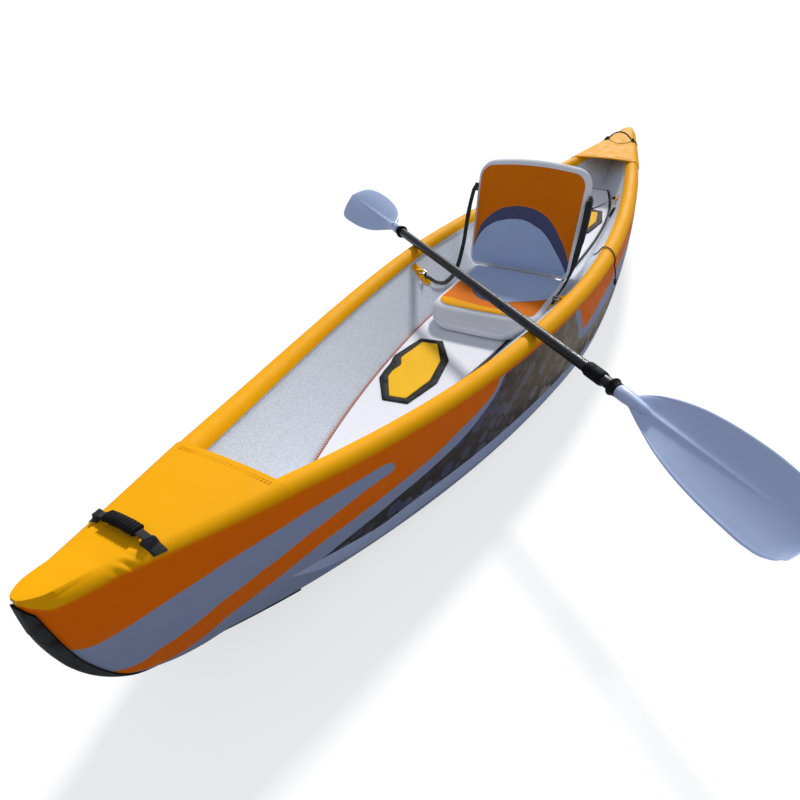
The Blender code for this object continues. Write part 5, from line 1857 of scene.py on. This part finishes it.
@dataclass
class WallRings:
    """The ring patches on the inner walls, the D-rings and the strap hooks."""

    front_x: float = 0.0975
    front_up: float = 0.80
    rear_x: float = -1.0625
    rear_up: float = 0.55
    width: float = 0.030
    depth: float = 0.024
    tilt: float = math.radians(32.0)
    patch: tuple[float, float, float] = (0.055, 0.040, 0.0016)

    def crown(self, x: float, up: float, side: Side) -> Matrix:
        """Return the matrix of a patch's tab, a share up the wall."""
        return FORM.wall(x, up, side) @ Matrix.Translation((0, 0, GAP + 0.0003 + self.patch[2] + 0.0032))

    def ring_path(self, crown: Matrix, side: Side) -> list[Vector]:
        """Return the points of a D-ring.

        Args:
            crown: The tab's matrix.
            side: The side of the hull.

        Returns:
            The points.
        """
        half = self.width / 2
        flat = [(u, 0.0) for u in np.linspace(-half + 0.003, half - 0.003, 9)]
        flat += [(half - 0.003 + 0.003 * math.sin(a), 0.003 - 0.003 * math.cos(a)) for a in (0.5, 1.0, 1.4)]
        for a in np.radians(np.linspace(0, 180, 25)):
            flat.append((half * math.cos(a), self.depth * (0.4 + 0.6 * math.sin(a))))
        flat += [(-half + 0.003 - 0.003 * math.sin(a), 0.003 - 0.003 * math.cos(a)) for a in (1.4, 1.0, 0.5)]
        cos, sin = math.cos(self.tilt), math.sin(self.tilt)
        return [crown @ Vector((u, -side.value * v * cos, v * sin)) for u, v in flat]

    def tongue(self, wall: Matrix, tall: bool) -> Object:
        """Return the patch that carries a ring.

        Args:
            wall: The matrix on the wall.
            tall: Whether it is a long rounded tongue.

        Returns:
            The patch.
        """
        wide, high = (0.023, 0.046) if tall else (self.patch[1] / 2, self.patch[0] / 2)
        shift = -0.014 if tall else 0.0
        up = math.copysign(1, wall.col[1].z)
        cloth = []
        for shrink, lift in ((0.0, 0.0), (0.0, 0.0014), (0.0006, 0.0020), (0.003, 0.0022), (0.0042, 0.0016),
                             (0.0054, 0.0022), (0.010, 0.0023), (0.0175, 0.0023)):
            ring = []
            for a in np.radians(np.linspace(0, 360, 57)[:-1]):
                c, d = (math.copysign(abs(way) ** 0.62, way) for way in (math.cos(a), math.sin(a)))
                ring.append(((wide - shrink) * c, ((high - shrink) * d + shift) * up, GAP + lift))
            cloth.append(ring)
        rings = [[wall @ Vector(point) for point in ring] for ring in cloth]
        return loft("plate", np.array(rings), cloth=np.array(cloth), sharp=60.0)

    def hook(self, side: Side) -> Matrix:
        """Return the upright matrix of a front strap's hook.

        Args:
            side: The side of the hull.

        Returns:
            The matrix.
        """
        reach = self.depth * (0.4 + 0.6 * math.sin(math.radians(70)))
        shift = (0, -side.value * reach * math.cos(self.tilt), reach * math.sin(self.tilt))
        bar = self.crown(self.front_x, self.front_up, side) @ Matrix.Translation(shift)
        return basis(bar.translation, bar.col[0].xyz, (0, 0, 1))

    def build(self) -> None:
        """Make and dress every piece."""
        bend = ((-0.016, -0.0038), (-0.008, -0.0030), (-0.003, 0.0030))
        bend += tuple((-v, height) for v, height in bend[::-1])
        for place, x, up in (("front", self.front_x, self.front_up), ("rear", self.rear_x, self.rear_up)):
            for side in Side:
                plate = self.tongue(FORM.wall(x, up, side), place == "front")
                crown = self.crown(x, up, side)
                path = [crown @ Vector((0, v, height)) for v, height in bend]
                tab = webbing("tab", path, [crown.col[0].xyz] * 6, 0.020, 0.0018, 30)
                piece = join(f"{place}_ring_patch_{side.word}", [plate, tab])
                dress(piece, ORANGE_CLOTH, stands_for=[f"{place}_ring_{side.word}_patch"])
                if place == "rear":
                    continue
                ring = tube(f"front_d_ring_{side.word}", self.ring_path(crown, side), 0.002, 12, cyclic=True)
                dress(ring, STAINLESS, stands_for=[f"front_ring_{side.word}"])
                spot = self.hook(side) @ Matrix.Translation((0, 0, -0.0035))
                hook = block(f"strap_hook_{side.word}", (0.0085, 0.011, 0.015), spot, 0.0022)
                dress(hook, BLACK_PLASTIC, stands_for=[f"front_hook_{side.word}"])


@dataclass
class Seat:
    """The cushion, the backrest with its printed covers, and the straps."""

    length: float = 0.41
    width: float = 0.360
    thick: float = 0.058
    rear: tuple[float, float] = (-0.168, 0.020)
    yaw: float = math.radians(3.0)
    back_height: float = 0.385
    back_width: float = 0.425
    back_thick: float = 0.030
    back_at: tuple[float, float] = (-0.205, 0.008)
    lean: float = math.radians(17.0)
    bolster: tuple[float, float, float] = (0.032, 0.29, 0.029)
    buckle_up: float = 0.275
    one_sided: float = 0.8
    skirt: float = 0.78
    taper_by: float = 0.055
    wedge: tuple[float, float] = (0.87, 0.36)
    back_wider: float = 0.006
    back_aside: float = -0.005
    back_lower: float = 0.008
    rear_strap_up: float = 0.235
    starboard_route: tuple = (
        (0.065, 0.212, 0.209), (0.02, 0.198, 0.194), (-0.07, 0.2, 0.208), (-0.16, 0.212, 0.285),
        (-0.215, 0.22, 0.385))
    port_route: tuple = (
        (0.05, 0.237, 0.237), (-0.02, 0.238, 0.247), (-0.1, 0.237, 0.272), (-0.165, 0.234, 0.33),
        (-0.215, 0.232, 0.4))

    @property
    def floor(self) -> float:
        """Return the height that the seat stands on."""
        return FORM.floor_top(0) + 2 * GAP + FloorGear.mat_thick

    @property
    def base(self) -> Matrix:
        """Return the cushion's matrix."""
        rear = Matrix.Translation((*self.rear, self.floor)) @ Matrix.Rotation(self.yaw, 4, "Z")
        return rear @ Matrix.Translation((self.length / 2, 0, 0))

    @property
    def back(self) -> Matrix:
        """Return the backrest's matrix, with Z up along it."""
        pivot = self.floor + self.bolster[2] + GAP + self.back_thick / 2 + 0.0009
        return Matrix.Translation((*self.back_at, pivot)) @ Matrix.Rotation(-self.lean, 4, "Y")

    @property
    def back_middle(self) -> Matrix:
        """Return the matrix of the backrest's middle, with X up, Y to port and Z forward.

        Returns:
            The matrix.
        """
        upright = self.back @ Matrix(((0, 0, 1, 0), (0, 1, 0, 0), (1, 0, 0, 0), (0, 0, 0, 1)))
        half = (self.back_height + self.back_thick / 2) / 2
        return upright @ Matrix.Translation((half - self.back_thick / 2, 0, 0))

    def outline(self, half_x: float, half_y: float, front: float, rear: float, inset: float) -> list:
        """Return a rounded rectangle drawn in by the inset.

        Args:
            half_x: Half its length.
            half_y: Half its width.
            front: The radius of the corners at plus X.
            rear: The radius of the others.
            inset: How far it is drawn in.

        Returns:
            Its (u, v) points.
        """
        x, y = half_x - inset, half_y - inset
        front, rear = max(0.002, front - inset), max(0.002, rear - inset)
        corners = ((x - front, y - front, front, 0), (-x + rear, y - rear, rear, 90),
                   (-x + rear, -y + rear, rear, 180), (x - front, -y + front, front, 270))
        arcs = [[(cx + radius * math.cos(a), cy + radius * math.sin(a))
                 for a in np.radians(np.linspace(start, start + 90, 13))]
                for cx, cy, radius, start in corners]
        points = []
        for arc, after in zip(arcs, arcs[1:] + arcs[:1]):
            (u0, v0), (u1, v1) = arc[-1], after[0]
            points += arc + [(u0 + (u1 - u0) * t, v0 + (v1 - v0) * t) for t in np.linspace(0, 1, 13)[1:-1]]
        return points

    def seam(self, size: Sizes, inset: float, waist: float, bow_out: float) -> list[Sizes]:
        """Return a cushion's outline at one height.

        Args:
            size: Half length, half width, front radius and rear radius.
            inset: How far it is drawn in.
            waist: How much narrower the cushion is there.
            bow_out: How far its front bows out.

        Returns:
            Rows of u, v and how far the point stands forward.
        """
        half_x, half_y, front, rear = size
        rows = []
        for u, v in self.outline(half_x, half_y - waist * (1 - self.one_sided / 2), front, rear, inset):
            v -= waist * self.one_sided / 2
            ahead = max(0.0, u / half_x)
            rows.append((u, v, bow_out * (1 - (v / half_y) ** 2) * ahead + self.skirt * waist * ahead ** 2))
        return rows

    def pillow(self, name: str, size: Sizes, profile: Sequence[tuple], matrix: Matrix, bow_out: float,
               soften: Callable[[float, float], float] | None = None) -> Object:
        """Loft a padded form from rounded outlines.

        Args:
            name: The piece's name.
            size: Half length, half width, front radius and rear radius.
            profile: Rows of inset, height and how much narrower it is there.
            matrix: Where it stands.
            bow_out: How far its front bows out.
            soften: What is added to a point's height by its place.

        Returns:
            The piece.
        """
        keys = np.arange(len(profile))
        fine = np.linspace(0, keys[-1], keys[-1] * 3 + 1)
        rows = [np.interp(fine, keys, [row[k] if len(row) > k else 0.0 for row in profile]) for k in range(3)]
        rings = []
        cloth = []
        for inset, height, waist in zip(*rows):
            seam = self.seam(size, inset, waist, bow_out)
            rings.append([matrix @ Vector((u + swell, v, height + (soften(u, v) if soften else 0.0)))
                          for u, v, swell in seam])
            cloth.append([(u + swell, v, height) for u, v, swell in seam])
        return refine(loft(name, np.array(rings), cloth=np.array(cloth), sharp=180.0))

    def cushion(self) -> None:
        """Make the cushion, its printed top and its welts."""
        thick, bow_out = self.thick, 0.008
        size = (self.length / 2 + 0.010, self.width / 2 + 0.010, 0.076, 0.028)
        place = self.base @ Matrix.Translation((0.018, 0.008, 0.0))
        side = [(0.14, 0.0, 0.042), (0.09, 0.0, 0.042), (0.020, 0.0, 0.042), (0.008, 0.003, 0.042),
                (0.001, 0.010, 0.040), (-0.004, 0.020, 0.036), (-0.006, 0.029, 0.028),
                (-0.005, 0.038, 0.016), (-0.001, 0.046, 0.006), (0.005, 0.052, 0.001), (0.013, 0.0562),
                (0.022, thick),
                (0.05, thick + 0.003), (0.10, thick + 0.006), (0.16, thick + 0.0075)]
        body = self.pillow("seat_cushion", size, side, place, bow_out)
        self.settle(body)
        dress(body, RIM_CLOTH, stands_for=["seat_base"])

        def soft(u: float, v: float) -> float:
            """Return the sitter's shallow hollows and fine creases."""
            hollow = sum(math.exp(-((u + 0.03) / 0.09) ** 2 - ((v - w) / 0.07) ** 2) for w in (-0.075, 0.075))
            return -0.0022 * hollow + 0.0008 * noise.noise(Vector((u * 26, v * 26, 0.4)))

        face = [(0.16, 0.0070), (0.10, 0.0050), (0.05, 0.0020), (0.0245, -0.0004), (0.0215, 0.0006),
                (0.0218, 0.0024), (0.026, 0.0040), (0.040, 0.0066), (0.07, 0.0100), (0.11, 0.0122),
                (0.16, 0.0132)]
        face = [(inset, thick + height) for inset, height in face]
        cover = self.pillow("seat_cushion_cover", size, face, place, bow_out, soft)
        self.settle(cover)
        dress(cover, SEAT_CLOTH, stands_for=["seat_cover"])
        top = self.seam(size, 0.0215, 0.0, bow_out)
        low = self.seam(size, -0.0066, 0.028, bow_out)
        self.welt("seat_top_welt", top, thick - 0.0002, place, 0.0018, self.settle, "hull")
        self.welt("seat_low_welt", low, 0.029, place, 0.0008, self.settle, "hull")

    def welt(self, name: str, seam: Sequence[Sizes], height: float, matrix: Matrix, radius: float,
             shape: Callable[[Object], None], body: str) -> None:
        """Make a round welt along a cushion's seam.

        Args:
            name: The piece's name.
            seam: The cushion's outline there.
            height: Its height.
            matrix: Where the cushion stands.
            radius: Its radius.
            shape: What the cushion was shaped by.
            body: The body that it rides on.
        """
        line = [matrix @ Vector((u + swell, v, height)) for u, v, swell in seam]
        piece = tube(name, line, radius, 8, cyclic=True)
        shape(piece)
        dress(piece, RIM_CLOTH, body)

    def taper(self, piece: Object) -> None:
        """Narrow the backrest towards its foot.

        Args:
            piece: The backrest or a part of it.
        """
        away = self.back_middle.inverted()
        for vertex in piece.data.vertices:
            point = away @ vertex.co
            share = min(1.0, max(0.0, 0.5 - point.x / self.back_height))
            point.y *= 1 - self.taper_by * share
            vertex.co = self.back_middle @ point

    def settle(self, piece: Object) -> None:
        """Thin the cushion towards its rear edge and turn that edge to the backrest.

        Args:
            piece: The cushion or a part of it.
        """
        away = self.base.inverted()
        for vertex in piece.data.vertices:
            point = away @ vertex.co
            share = min(1.0, max(0.0, point.x / self.length + 0.5))
            point.z *= self.wedge[0] + self.wedge[1] * share
            point.x += 0.08 * point.y * (1 - share)
            vertex.co = self.base @ point

    def backrest(self) -> None:
        """Make the bolster, the backrest, its printed face and its welts."""
        x, y = self.back_at
        spot = Matrix.Translation((x - 0.002, y, self.floor + self.bolster[2] / 2))
        roll = refine(block("seat_rear_bolster", self.bolster, spot, 0.009))
        dress(roll, RIM_CLOTH, stands_for=["seat_bolster"])
        half = (self.back_height + self.back_thick / 2) / 2 - self.back_lower
        size = (half, self.back_width / 2 + self.back_wider, 0.056, 0.036)
        middle = self.back_middle @ Matrix.Translation((-self.back_lower, self.back_aside, 0))
        t, bow_out = self.back_thick / 2, 0.022
        pad = [(0.16, -t - 0.005), (0.10, -t - 0.0045), (0.04, -t - 0.003), (0.014, -t), (0.004, -0.72 * t),
               (-0.0010, -0.35 * t), (0.0004, 0.0), (0.0036, 0.35 * t), (0.0085, 0.72 * t), (0.0155, t),
               (0.05, t + 0.002), (0.10, t + 0.0035), (0.16, t + 0.004)]
        body = self.pillow("seat_back_pad", size, pad, middle, bow_out)
        self.taper(body)
        dress(body, RIM_CLOTH, "backrest", ["seat_back"])

        def soft(u: float, v: float) -> float:
            """Return the face's gentle lumps."""
            return 0.0012 * noise.noise(Vector((u * 14, v * 14, 2.2)))

        face = [(0.16, 0.0040), (0.10, 0.0032), (0.05, 0.0018), (0.0165, -0.0006), (0.0135, 0.0004),
                (0.0139, 0.0018), (0.019, 0.0034), (0.033, 0.0062), (0.07, 0.0090), (0.12, 0.0108),
                (0.16, 0.0112)]
        face = [(inset, t + height) for inset, height in face]
        panel = (size[0] - 0.003, size[1] - 0.003, 0.054, 0.036)
        drawn = middle @ Matrix.Translation((-0.003, -0.002, 0))
        cover = self.pillow("seat_back_print", panel, face, drawn, bow_out, soft)
        self.taper(cover)
        store(cover, stored(cover)[:, (1, 0, 2)] + np.array((self.back_aside, half, 0.0)))
        dress(cover, BACK_CLOTH, "backrest", ["seat_back_cover"])
        front = self.seam(panel, 0.0134, 0.0, bow_out)
        rear = self.seam(size, 0.012, 0.0, bow_out)
        self.welt("seat_back_front_welt", front, t - 0.0004, drawn, 0.0015, self.taper, "backrest")
        self.welt("seat_back_rear_welt", rear, -t + 0.0002, middle, 0.0015, self.taper, "backrest")

    def straps(self) -> None:
        """Make the webbing straps, their buckles and the loose tails."""
        for side in (Side.STARBOARD, Side.PORT):
            aside = side.value * (self.back_width / 2 + self.back_wider + GAP + 0.004) + self.back_aside
            buckle = self.back @ Matrix.Translation((0, aside, self.buckle_up))
            piece = block(f"strap_buckle_{side.word}", (0.024, 0.008, 0.030), buckle, 0.0028)
            slit = buckle @ Matrix.Translation((0, 0, 0.006))
            carve(piece, block("slot", (0.0170, 0.030, 0.004), slit, 0.0008, 2))
            shade(piece, 45)
            dress(piece, BLACK_PLASTIC, "backrest", [f"buckle_{side.word}"])
            self.front_strap(side, buckle)
            self.rear_strap(side)
            self.tail(side, buckle)

    def front_strap(self, side: Side, buckle: Matrix) -> None:
        """Make one strap from a hook on the wall to the backrest's buckle.

        Args:
            side: The side of the hull.
            buckle: The buckle's matrix.
        """
        route, wide = (self.starboard_route, 0.0155) if side is Side.STARBOARD else (self.port_route, 0.022)
        hook = WallRings().hook(side) @ Matrix.Translation((0, 0, -0.011))
        start = hook @ Vector((0, 0, -GAP - 0.0005))
        end = buckle @ Vector((0.012 + GAP + 0.0005, 0, -0.004))
        points = [start, start + Vector((0, 0, -0.004)),
                  start + Vector((-0.010, -side.value * 0.005, -0.008))]
        points += [Vector((x, side.value * y, z)) for x, y, z in route]
        points += [end + Vector((0.010, 0, -0.003)), end]
        slanted = [Vector((0, 0.7, side.value * 0.7))] * 4
        ways = [hook.col[0].xyz] * 2 + slanted + [Vector((0, 1, 0))] * (len(points) - 6)
        strap = webbing(f"front_strap_{side.word}_webbing", points, ways, wide, 0.0018, 90)
        dress(strap, BLACK_WEB, "", [f"front_strap_{side.word}"])
        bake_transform(strap)

    def rear_strap(self, side: Side) -> None:
        """Make one strap from the backrest to the rear ring patch.

        Args:
            side: The side of the hull.
        """
        rings = WallRings()
        anchor = rings.crown(rings.rear_x, rings.rear_up, side)
        low = anchor @ Vector((0, 0, 0.0035 + GAP))
        aside = side.value * (self.back_width / 2 - 0.020)
        high = self.back @ Vector((-self.back_thick / 2 - GAP - 0.0050, aside, self.rear_strap_up))
        span = high - low
        points = [low, anchor @ Vector((0.004, 0, 0.016)), low + span * 0.30 + Vector((0, 0, -0.004)),
                  low + span * 0.66 + Vector((0, 0, -0.006)), high + Vector((-0.010, 0, -0.001)), high]
        ways = [Vector((0, side.value * 0.7, 0.7))] * len(points)
        strap = webbing(f"rear_strap_{side.word}_webbing", points, ways, 0.016, 0.0016, 70)
        dress(strap, BLACK_WEB, "", [f"rear_strap_{side.word}"])
        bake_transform(strap)

    def tail(self, side: Side, buckle: Matrix) -> None:
        """Make the loose webbing tail that hangs from a buckle.

        Args:
            side: The side of the hull.
            buckle: The buckle's matrix.
        """
        reach = 0.23 if side is Side.STARBOARD else 0.15
        spots = ((0.0, 0.0, 0.006), (0.002, 0.0062, 0.004), (0.004, 0.0085, -0.012),
                 (0.010, 0.0095, -0.5 * reach), (0.024, 0.0080, -reach))
        points = [buckle @ Vector((x, side.value * y, z)) for x, y, z in spots]
        ways = [buckle.col[0].xyz] * len(points)
        tail = webbing(f"strap_tail_{side.word}", points, ways, 0.0165, 0.0016, 40)
        dress(tail, BLACK_WEB, "backrest")

    def build(self) -> None:
        """Make and dress every piece."""
        self.cushion()
        self.backrest()
        self.straps()


@dataclass
class Paddle:
    """The double-bladed paddle that lies across both gunwales."""

    shaft: float = 0.0152
    ring_span: float = 1.265
    tilt: float = math.radians(-40.0)
    angle: float = math.radians(53.9)
    spoon: float = 0.020
    thick: float = 0.0040
    neck_gap: float = 0.0152
    upper: tuple = (
        (0.04, 0.015), (0.052, 0.023), (0.07, 0.035), (0.1, 0.05), (0.118, 0.056), (0.17, 0.069),
        (0.25, 0.079), (0.32, 0.081), (0.4, 0.077), (0.45, 0.069), (0.488, 0.056), (0.51, 0.041),
        (0.523, 0.024), (0.529, 0.0))
    lower: tuple = (
        (0.04, 0.015), (0.052, 0.019), (0.07, 0.026), (0.1, 0.037), (0.118, 0.043), (0.17, 0.06),
        (0.25, 0.079), (0.32, 0.089), (0.4, 0.095), (0.45, 0.096), (0.488, 0.089), (0.51, 0.073),
        (0.523, 0.048), (0.529, 0.0))
    far: Vector = Vector((-0.066558, -0.436394, 0.327229))
    near: Vector = Vector((0.677884, 0.584491, 0.332771))

    def build(self) -> None:
        """Make and dress every piece."""
        way = (self.near - self.far).normalized()
        across = Vector((math.sin(self.angle), -math.cos(self.angle), 0))
        upper = -(across * math.cos(self.tilt) + Vector((0, 0, math.sin(self.tilt))))
        for word, point, out, body in (("near", self.near, way, "feathered_blade"),
                                       ("far", self.far, -way, "paddle")):
            side = (upper - out * upper.dot(out)).normalized()
            matrix = Matrix((out, side, out.cross(side))).transposed().to_4x4()
            matrix.translation = point + out * self.neck_gap
            leaf = self.blade(f"paddle_blade_{word}", matrix)
            dress(leaf, BLADE_PLASTIC, body, [f"blade_{word}"])
        sleeve = self.ring_span - 0.075
        split, tail = sleeve - 0.012, self.neck_gap + 0.027
        self.rod("paddle_shaft", -tail, split - GAP / 2, "paddle", "shaft")
        self.rod("paddle_near_tube", split + GAP / 2, self.ring_span + tail, "feathered_blade", "near_tube")
        inside = self.shaft + GAP
        ribbed = [(inside, -0.031), (0.0182, -0.031)]
        for base in (-0.027 + 0.006 * k for k in range(9)):
            ribbed += [(0.019, base), (0.0196, base + 0.0012), (0.0196, base + 0.003), (0.019, base + 0.0042)]
        ribbed += [(0.0182, 0.031), (inside, 0.031)]
        grip = turned("paddle_clamp_sleeve", ribbed, self.spot(sleeve))
        dress(grip, BLACK_RUBBER, "paddle", ["clamp_sleeve"])
        cup = [(inside, -0.011), (0.0180, -0.011), (0.0187, -0.0085), (0.0184, -0.003), (0.0205, 0.003),
               (0.0229, 0.0068), (0.0233, 0.0085), (0.0229, 0.010), (0.0216, 0.0098), (0.0195, 0.0042),
               (0.0176, 0.0014), (inside, 0.001)]
        for word, distance, flip in (("far", 0.0, 1), ("near", self.ring_span, -1)):
            profile = [(radius, flip * height) for radius, height in cup]
            piece = turned(f"paddle_drip_ring_{word}", profile, self.spot(distance))
            dress(piece, BLACK_RUBBER, f"{word}_ring", [f"drip_ring_{word}"])

    def spot(self, distance: float) -> Matrix:
        """Return a matrix on the shaft, with its Z along it, at a distance from the far ring.

        Args:
            distance: The distance.

        Returns:
            The matrix.
        """
        way = (self.near - self.far).normalized()
        turn = way.to_track_quat("Z", "Y").to_matrix().to_4x4()
        return Matrix.Translation(self.far + way * distance) @ turn

    def rod(self, name: str, low: float, high: float, body: str, node: str) -> None:
        """Make one length of the shaft.

        Args:
            name: The piece's name.
            low: Where it starts, from the far ring.
            high: Where it ends.
            body: The body that it rides on.
            node: The node that it stands for.
        """
        half, radius = (high - low) / 2, self.shaft
        profile = [(0, -half), (radius - 0.001, -half), (radius, -half + 0.001)]
        profile += [(radius, z) for z in np.linspace(-half + 0.02, half - 0.02, 12)]
        profile += [(radius, half - 0.001), (radius - 0.001, half), (0, half)]
        dress(turned(name, profile, self.spot((low + high) / 2), 64), SHAFT_COAT, body, [node])

    def blade(self, name: str, matrix: Matrix) -> Object:
        """Make one spooned blade with its rib and its neck in one piece.

        Args:
            name: The piece's name.
            matrix: Where it stands, with X outward along the shaft.

        Returns:
            The piece.
        """
        start, end = self.upper[0][0], self.upper[-1][0]
        even = np.sin(np.linspace(-math.pi / 2, math.pi / 2, 53))
        rings = []
        for s in (1 - np.cos(np.linspace(0, math.pi, 110))) / 2:
            x = start + (end - start) * s
            upper, lower = (max(0.0012, smooth_table(x, line)) for line in (self.upper, self.lower))
            half = self.thick / 2 * min(1.0, 0.25 + 6 * (1 - s))
            fade, swell = max(0.0, 1 - s / 0.80) ** 0.7, max(0.0, 1 - s / 0.20) ** 2
            front, rear = [], []
            for c in np.sign(even) * np.abs(even) ** 1.35:
                y = c * (upper if c > 0 else lower)
                curve = self.spoon * (c * c * min(1.0, s * 3) * 0.55 - (s - 0.5) ** 2 * 0.9)
                rib = 0.0042 * fade * math.exp(-(y / (0.0030 + 0.0045 * fade)) ** 2)
                lip = 0.0009 * math.exp(-((abs(c) - 0.95) / 0.03) ** 2) * min(1.0, 4 * (1 - s))
                body = half * (1 - 0.8 * abs(c) ** 8) + rib + swell * math.sqrt(max(0.0, 1 - c * c)) * 0.0115
                front.append(matrix @ Vector((x, y, curve + body + lip)))
                rear.append(matrix @ Vector((x, y, curve - body)))
            rings.append(front + rear[::-1])
        leaf = loft(name, np.array(rings), sharp=70.0)
        inside, outside = self.shaft + GAP, self.shaft + 0.0030
        profile = [(inside, 0.0), (outside - 0.0008, 0.0), (outside, 0.0012), (outside, 0.026),
                   (outside - 0.0006, 0.034), (0.0168, 0.046), (0.015, 0.062), (0.0125, 0.082),
                   (0.009, 0.1), (0.004, 0.11), (0.0, 0.111), (0.0, 0.0262), (inside, 0.0262)]
        carve(leaf, turned("neck", profile, matrix @ Matrix.Rotation(math.pi / 2, 4, "Y"), 48), "UNION")
        shade(leaf, 40)
        return leaf


@dataclass
class Leash:
    """The thin cord that lies over the port gunwale, with its clip."""

    start: float = -0.235
    radius: float = 0.0022

    def route(self) -> list[Vector]:
        """Return the points that the cord goes through.

        Returns:
            The points, from the patch inside the wall to the clip outside.
        """
        lift = self.radius + 0.0017
        points = [FORM.wall(self.start - 0.10, 0.74, Side.PORT) @ Vector((0, 0, lift)),
                  FORM.wall(self.start - 0.08, 0.90, Side.PORT) @ Vector((0, 0, lift))]
        for angle in range(160, -1, -20):
            a = math.radians(angle)
            x = self.start - 0.06 + 0.10 * (160 - angle) / 160
            reach = FORM.gunwale + lift
            points.append(Vector((x, FORM.half_beam(x) - FORM.gunwale + reach * math.cos(a),
                                  FORM.crest(x) - FORM.gunwale + reach * math.sin(a))))
        last = points[-1]
        return points + [last + Vector((0.012, 0.009, -0.018)), last + Vector((0.022, 0.014, -0.040))]

    def build(self) -> None:
        """Make and dress the cord and its clip."""
        points = self.route()
        path = smooth_path(points, 40)
        data = bpy.data.curves.new("leash_line", "CURVE")
        data.dimensions = "3D"
        data.bevel_depth = self.radius
        data.bevel_resolution = 4
        data.use_fill_caps = True
        spline = data.splines.new("POLY")
        spline.points.add(len(path) - 1)
        for item, point in zip(spline.points, path):
            item.co = (*point, 1)
        cord = link("leash_line", data)
        dress(cord, BLACK_WEB, stands_for=["leash_cord"])
        direction = (points[-1] - points[-2]).normalized()
        spot = basis(points[-1] + direction * (0.011 + GAP), (0, 1, 0), direction)
        clip = block("leash_end_clip", (0.010, 0.006, 0.022), spot, 0.0022)
        dress(clip, BLACK_PLASTIC, stands_for=["leash_clip"])


@dataclass
class Studio:
    """The camera at the photograph's angle, the lamps, the floor and the backdrop."""

    eye: Vector = Vector((2.0316, 0.8121, 1.1874))
    target: Vector = Vector((0.7682, 0.0455, 0.192))
    roll: float = -0.0411
    lens: float = 28.97
    shift: tuple[float, float] = (-0.0033, -0.0019)
    floor_reach: float = 300.0
    floor_level: float = -0.0006

    def camera(self) -> None:
        """Place the camera."""
        ahead = (self.target - self.eye).normalized()
        right = ahead.cross(Vector((0, 0, 1))).normalized()
        up = right.cross(ahead)
        level = math.cos(self.roll) * right + math.sin(self.roll) * up
        rising = -math.sin(self.roll) * right + math.cos(self.roll) * up
        data = bpy.data.cameras.new("photo_camera")
        data.lens = self.lens
        data.sensor_width = 36.0
        data.shift_x, data.shift_y = self.shift
        data.clip_start = 0.01
        matrix = Matrix((level, rising, -ahead)).transposed().to_4x4()
        matrix.translation = self.eye
        made = link("photo_camera", data)
        made.matrix_world = matrix
        bpy.context.scene.camera = made

    def lamp(self, name: str, way: Sequence[float], spread: float, power: float, colour: Colour) -> None:
        """Add a far soft lamp that lights everything alike.

        Args:
            name: The lamp's name.
            way: Where it stands from the hull.
            spread: How wide it looks, in degrees.
            power: How strong it is.
            colour: Its colour.
        """
        data = bpy.data.lights.new(name, "SUN")
        data.angle = math.radians(spread)
        data.energy = power
        data.color = colour
        link(name, data).rotation_euler = Vector(way).to_track_quat("Z", "Y").to_euler()

    def floor(self) -> None:
        """Make the pale floor, which keeps the object's shadow, and the white backdrop."""
        corners = [(x * self.floor_reach, y * self.floor_reach, self.floor_level)
                   for x, y in ((-1, -1), (1, -1), (1, 1), (-1, 1))]
        ground = from_points("studio_floor", np.array(corners), [(0, 1, 2, 3)])
        graph = Graph("studio_floor_paper")
        rays = graph.node("ShaderNodeLightPath", {})
        seen = graph.math("MAXIMUM", rays.outputs["Is Camera Ray"], rays.outputs["Is Glossy Ray"])
        graph.finish((0.40, 0.40, 0.41), 0.9, Specular_IOR_Level=0.0)
        glow = graph.node("ShaderNodeEmission", {"Color": (1.0, 1.0, 1.0), "Strength": 0.68})
        added = graph.node("ShaderNodeAddShader", {0: graph.shader.outputs[0], 1: glow.outputs[0]})
        chosen = graph.node("ShaderNodeMixShader", {0: seen, 1: graph.shader.outputs[0], 2: added.outputs[0]})
        graph.tree.links.new(chosen.outputs[0], graph.tree.nodes["Material Output"].inputs["Surface"])
        ground.data.materials.append(graph.material)

    def world(self) -> None:
        """Make the even sky, which the camera sees as white."""
        world = bpy.data.worlds.new("studio_sky")
        world.use_nodes = True
        tree = world.node_tree
        background = tree.nodes["Background"]
        background.inputs["Color"].default_value = (0.80, 0.89, 1.0, 1.0)
        background.inputs["Strength"].default_value = 0.38
        white = tree.nodes.new("ShaderNodeBackground")
        white.inputs["Color"].default_value = (1.0, 1.0, 1.0, 1.0)
        rays = tree.nodes.new("ShaderNodeLightPath")
        share = tree.nodes.new("ShaderNodeMath")
        share.operation = "MAXIMUM"
        tree.links.new(rays.outputs["Is Camera Ray"], share.inputs[0])
        tree.links.new(rays.outputs["Is Transmission Ray"], share.inputs[1])
        mixed = tree.nodes.new("ShaderNodeMixShader")
        tree.links.new(share.outputs[0], mixed.inputs[0])
        tree.links.new(background.outputs[0], mixed.inputs[1])
        tree.links.new(white.outputs[0], mixed.inputs[2])
        tree.links.new(mixed.outputs[0], tree.nodes["World Output"].inputs["Surface"])
        bpy.context.scene.world = world

    def build(self) -> None:
        """Make the lamps, the floor and the sky."""
        self.lamp("key_lamp", (-0.93, -0.23, 0.645), 7.0, 3.35, (1.0, 0.98, 0.94))
        self.lamp("fill_lamp", (0.9, 0.7, 0.8), 60.0, 0.20, (0.84, 0.92, 1.0))
        self.floor()
        self.world()
        bpy.context.scene.view_settings.view_transform = "Standard"


def main() -> None:
    """Build the canoe's pieces in order."""
    logging.basicConfig(level=logging.INFO, format="%(message)s")
    studio = Studio()
    studio.camera()
    Leash().build()
    for part in (Hull(), FloorGear(), Valves(), Handles(), WallRings(), Seat(), Paddle(), studio):
        log.info("building %s", type(part).__name__)
        part.build()


if __name__ == "__main__":
    main()
